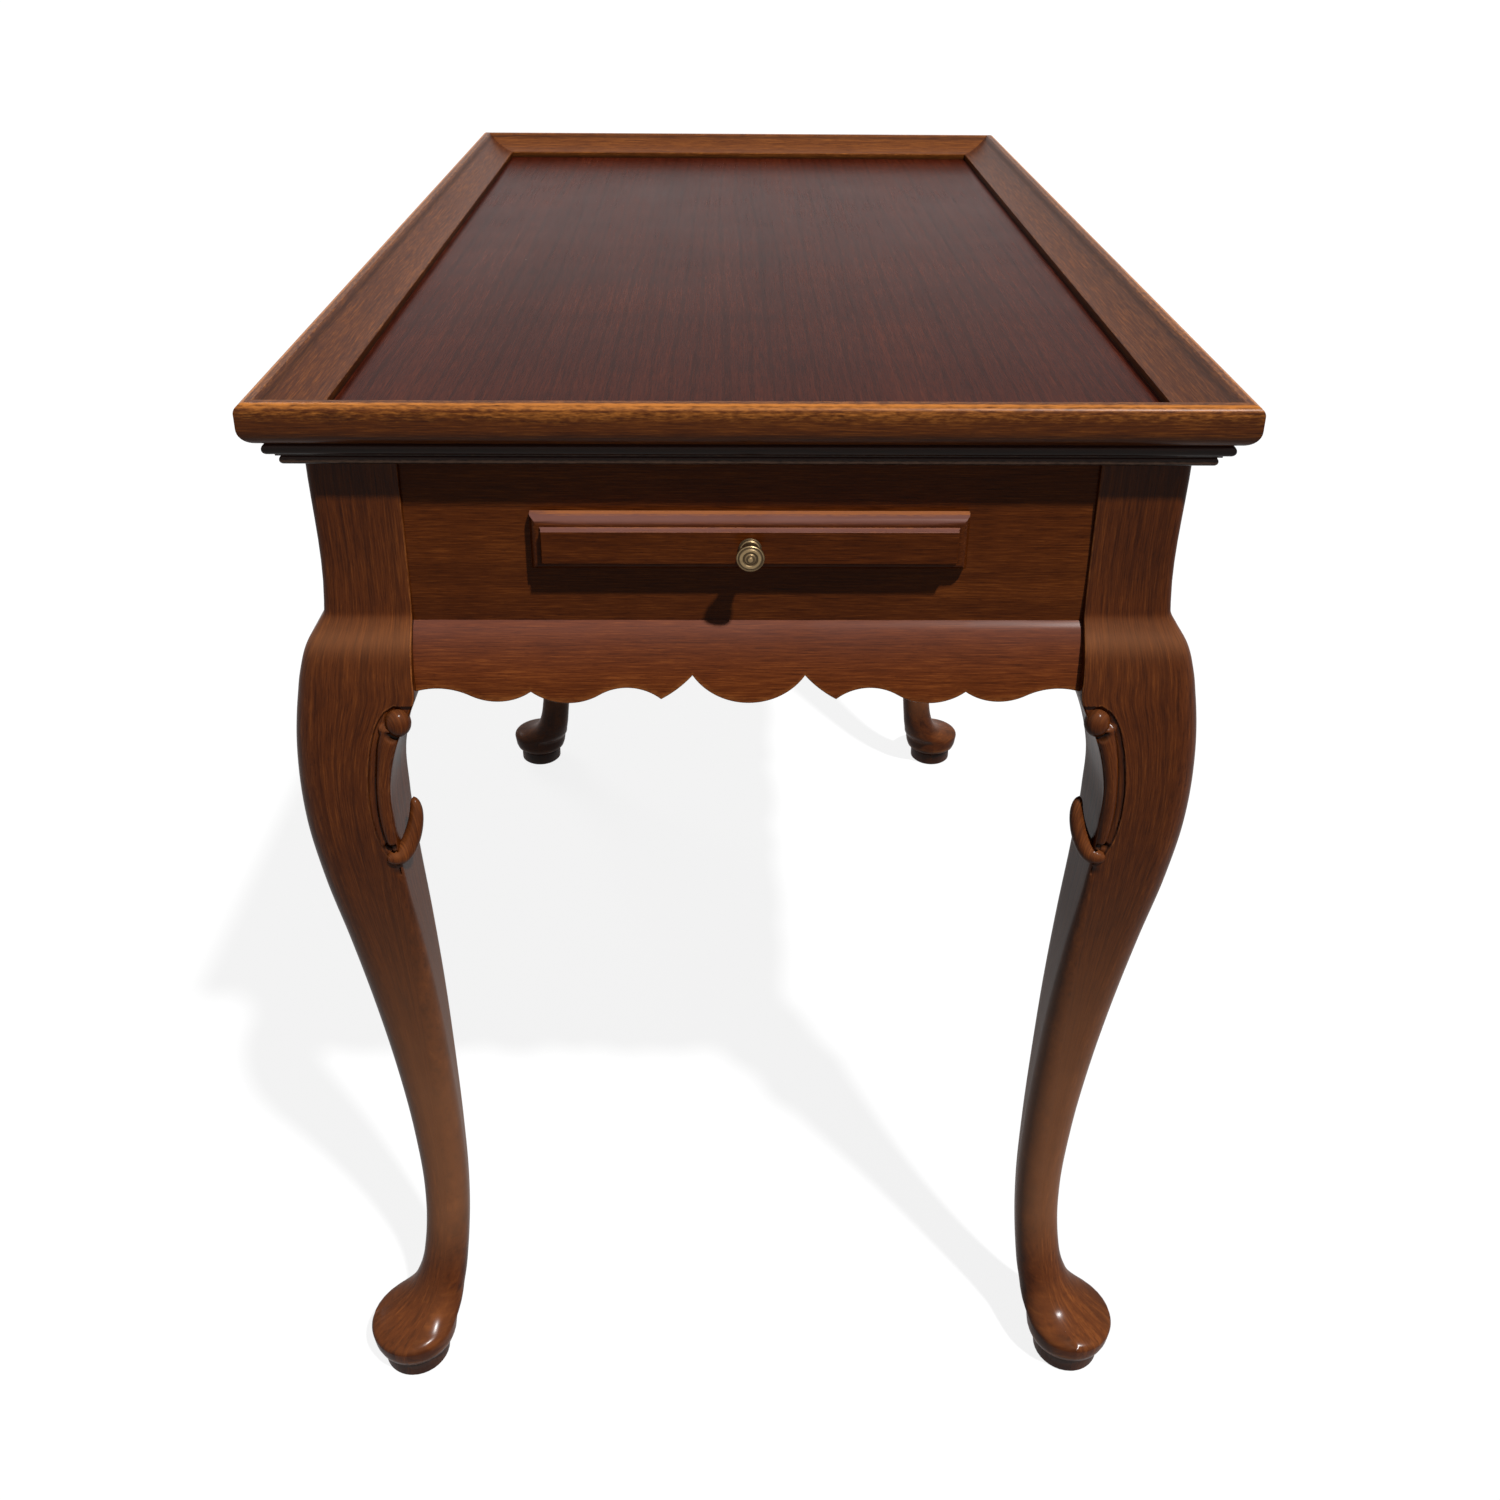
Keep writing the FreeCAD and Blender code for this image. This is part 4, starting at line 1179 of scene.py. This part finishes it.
def frameLoop(profile, halfWide, halfHigh, count):
    # each profile row is inset and rise; the row runs round a rectangle smaller by its inset
    step = np.linspace(-1, 1, count + 1)[:-1]
    one = np.ones(count)
    edges = ((step, -one), (one, step), (-step, one), (-one, -step))
    loop = np.concatenate([np.stack(edge, 1) for edge in edges])
    wide = (halfWide - profile[:, :1]) * loop[None, :, 0]
    high = (halfHigh - profile[:, :1]) * loop[None, :, 1]
    return wide, high, np.broadcast_to(profile[:, 1:], wide.shape)


def slideFront(side):
    # square edge, quarter round, fillet and shallow cove up to the field, the same on all four sides
    edge, ovolo, bevel, thick = slide["edge"], slide["ovolo"], slide["bevel"], slide["thickness"]
    wall = edge + ovolo + slide["fillet"]
    t = np.linspace(0, 1, 7)[:, None]
    start, stop = np.array([ovolo + 0.35, wall]), np.array([bevel, thick - 0.35])
    cove = start + (stop - start) * t + np.array([0.45, -0.45]) * (4 * slide["bevelSag"] * t * (1 - t))
    profile = np.concatenate([
        [[0.4, 0.0], [0.0, 0.4]],
        arcPoints((ovolo, edge), ovolo, 180, 90, 12),
        [[ovolo + 0.25, edge + ovolo + 0.05], [ovolo + 0.3, wall - 0.1]],
        cove,
        [[bevel + 0.3, thick], [bevel + 1.0, thick]],
    ])
    wide, high, out = frameLoop(profile, slide["width"] / 2, slide["height"] / 2, slide["sidePoints"])
    points = place(side, wide, side["face"] + slide["gap"] + out, slideHeight + high)
    wear_and_highlight, grime = rowMask(wide.shape, slide["wear_and_highlight"]), rowMask(wide.shape, slide["grime"])
    # the upper edge is the one that hands rub, and the one that catches the light, so its wear also paints a
    # highlight
    upper = np.arange(wide.shape[1]) // slide["sidePoints"] == 2
    wear_and_highlight *= np.where(upper, 1.0, slide["lowerWear"])
    return shell(points), {"wear_and_highlight": wear_and_highlight.ravel(), "grime": grime.ravel()}


def turnedKnob(side):
    # a profile of radius and reach spun round the axis that points out of the slide
    profile = np.array(knob["profile"])
    step = np.arange(len(profile))
    fine = np.linspace(0, len(profile) - 1, 3 * len(profile) - 2)
    radius = np.maximum(np.interp(fine, step, profile[:, 0]), 0.02)[:, None]
    reach = np.interp(fine, step, profile[:, 1])[:, None]
    turn = roundTurn(knob["around"])
    foot = side["face"] + slide["gap"] + slide["thickness"]
    points = place(side, radius * np.cos(turn), foot + reach + 0 * turn, slideHeight + radius * np.sin(turn))
    grooves = np.array(knob["grooves"])
    gap = np.hypot(radius - grooves[:, 0], reach - grooves[:, 1]).min(1)
    return shell(points), {"grime": np.repeat(bump(gap, 0, knob["grooveSpread"]), len(turn))}


for side in sides[:2]:
    start = "slide_" + side["name"]
    mesh, masks = slideFront(side)
    addPiece(start + "_face", [mesh], slideWood, start, sharpAngle=30, masks=masks)
    mesh, masks = turnedKnob(side)
    addPiece(start + "_knob", [mesh], brass, start, sharpAngle=50, masks=masks)
print("slides made")

# screws under the top, in the corner blocks and cleats
screw = dict(
    radius=4.0,
    dome=0.5,
    slotWidth=1.1,
    slotDepth=1.0,
    around=40,
    rings=15,
    hem=1.5,
    blockThickness=24.0,
    # places in a corner block, as shares of its size from the inner faces of the aprons
    blockShares=((0.75, 0.125), (0.125, 0.75)),
    blockSize=74.0,
    cleatSize=19.0,
    endSpread=50.0,
    # how the slots are turned from head to head, in radians
    blockTurn=2.1,
    cleatTurn=0.7,
    endTurn=0.5,
)


def screwHead(x, y, height, turn):
    # a disc of rings whose height follows a low dome, cut by a straight slot, facing down
    share = np.linspace(0.01, 1, screw["rings"])[:, None]
    angle = roundTurn(screw["around"])[None, :]
    radius = screw["radius"] * np.minimum(share * 1.05, 1)
    slotted = np.abs(radius * np.sin(angle - turn)) < screw["slotWidth"] / 2
    drop = screw["dome"] * (1 - share ** 2) - screw["slotDepth"] * slotted
    skin = np.stack([x + radius * np.cos(angle), y + radius * np.sin(angle), height - drop + 0 * angle], -1)
    hem = skin[-1:].copy()
    hem[..., 2] = height + screw["hem"]
    return shell(np.concatenate([skin, hem]))


innerX, innerY = apronX - table["apronThickness"], apronY - table["apronThickness"]
blockUnder, cleatUnder = frameTop - screw["blockThickness"], frameTop - screw["cleatSize"]
cleatX, cleatY = innerX - screw["cleatSize"] / 2, innerY - screw["cleatSize"] / 2
heads = []
for index, (name, wayX, wayY) in enumerate(corners):
    for shift, (shareX, shareY) in enumerate(screw["blockShares"]):
        x, y = innerX - screw["blockSize"] * shareX, innerY - screw["blockSize"] * shareY
        heads.append(screwHead(x * wayX, y * wayY, blockUnder, index + shift * screw["blockTurn"]))
for name, wayX, wayY in corners:
    heads.append(screwHead(cleatX * wayX, spanY / 2 * wayY, cleatUnder, wayX + wayY * screw["cleatTurn"]))
    heads.append(screwHead(
        screw["endSpread"] * wayX, cleatY * wayY, cleatUnder, wayX * screw["endTurn"] - wayY))
addPiece("topScrews", heads, steel, "table", replaced=False, sharpAngle=40)
print("screws made")

# CAD pieces that keep their shape
kept = {"top_panel": panelWood, "cross_rail": innerWood["x"], "runner_spacer": innerWood["x"]}
for side in sides:
    name, way = side["name"], side["grain"]
    kept["apron_" + name] = apronWood[way]
    kept["cleat_" + name] = innerWood[way]
    if way == "x":
        start = "slide_" + name
        kept.update({
            start + "_board": boardWood, start + "_knob_screw": steel,
            start + "_stop_pins": innerWood["x"]})
    else:
        kept["runner_" + name] = innerWood["y"]
for name, wayX, wayY in corners:
    kept["corner_block_" + name] = innerWood["x"]
for name, material in kept.items():
    mesh = nodes[name].data
    mesh.materials.clear()
    mesh.materials.append(material)
print("kept pieces finished")

# floor, light and camera
studio = dict(
    floor=(0.125, 0.125, 0.125, 1),
    floorReach=40.0,
    floorGlow=0.86,
    world=0.08,
    # name, way from the table to the lamp, strength, width in degrees
    lamps=(
        ("key", (0.31, -0.47, 0.86), 4.5, 2.5),
        ("back", (-0.55, 0.75, 0.7), 0.9, 28.0),
    ),
)
camera = dict(
    place=(-0.012267, -1.035871, 0.906563),
    pitch=0.4448,
    yaw=0.01517,
    roll=0.00792,
    focus=1462.826,
    centre=(745.403, 565.0),
    image=1500.0,
    sensor=36.0,
)


def seenRays(tree):
    # 1 where the surface is seen straight, mirrored or through glass, 0 where it only gives light
    path = addNode(tree, "ShaderNodeLightPath").outputs
    seen = calc(tree, "MAXIMUM", path["Is Glossy Ray"], path["Is Transmission Ray"])
    return calc(tree, "MAXIMUM", path["Is Camera Ray"], seen)


def makeFloor():
    # a wide square, pale where it is seen, that keeps the table's shadow
    mesh = bpy.data.meshes.new("floor")
    square = np.array([(-1, -1, 0), (1, -1, 0), (1, 1, 0), (-1, 1, 0)]) * studio["floorReach"]
    mesh.from_pydata(square, [], [(0, 1, 2, 3)])
    material, tree, shader = newMaterial("paleFloor", {
        "Base Color": studio["floor"], "Roughness": 0.9,
        "Specular IOR Level": 0.1, "Emission Color": (1, 1, 1, 1)})
    glow = calc(tree, "MULTIPLY", seenRays(tree), studio["floorGlow"])
    tree.links.new(glow, shader.inputs["Emission Strength"])
    mesh.materials.append(material)
    floor = bpy.data.objects.new("floor", mesh)
    scene.collection.objects.link(floor)


def makeWorld():
    # white where it is seen or mirrored, softer as a light
    world = bpy.data.worlds.new("studio")
    scene.world = world
    world.use_nodes = True
    tree = world.node_tree
    background = tree.nodes["Background"].inputs
    background["Color"].default_value = (1, 1, 1, 1)
    strength = calc(tree, "MULTIPLY_ADD", seenRays(tree), 1.0 - studio["world"], studio["world"])
    tree.links.new(strength, background["Strength"])


def makeLamps():
    # suns, each shining from its own way
    for name, way, strength, width in studio["lamps"]:
        light = bpy.data.lights.new(name, "SUN")
        light.energy = strength
        light.angle = math.radians(width)
        lamp = bpy.data.objects.new(name, light)
        lamp.rotation_euler = Vector(way).to_track_quat("Z", "Y").to_euler()
        scene.collection.objects.link(lamp)


def makeCamera():
    # the row frame turned by yaw, brought to right, down and forward, tipped by pitch and rolled
    view = Matrix(((1, 0, 0), (0, 0, -1), (0, 1, 0))) @ Matrix.Rotation(camera["yaw"], 3, "Z")
    view = Matrix.Rotation(camera["roll"], 3, "Z") @ Matrix.Rotation(camera["pitch"], 3, "X") @ view
    image, centre = camera["image"], camera["centre"]
    data = bpy.data.cameras.new("photoView")
    data.sensor_width = camera["sensor"]
    data.lens = camera["focus"] / image * camera["sensor"]
    data.shift_x = (image / 2 - centre[0]) / image
    data.shift_y = (centre[1] - image / 2) / image
    data.clip_start, data.clip_end = 0.02, 200.0
    eye = bpy.data.objects.new("photoView", data)
    right, down, forward = view
    matrix = Matrix((right, -down, -forward)).transposed().to_4x4()
    matrix.translation = camera["place"]
    eye.matrix_world = matrix
    scene.collection.objects.link(eye)
    scene.camera = eye


makeFloor()
makeWorld()
makeLamps()
makeCamera()
scene.view_settings.view_transform = "Standard"
print("studio ready")
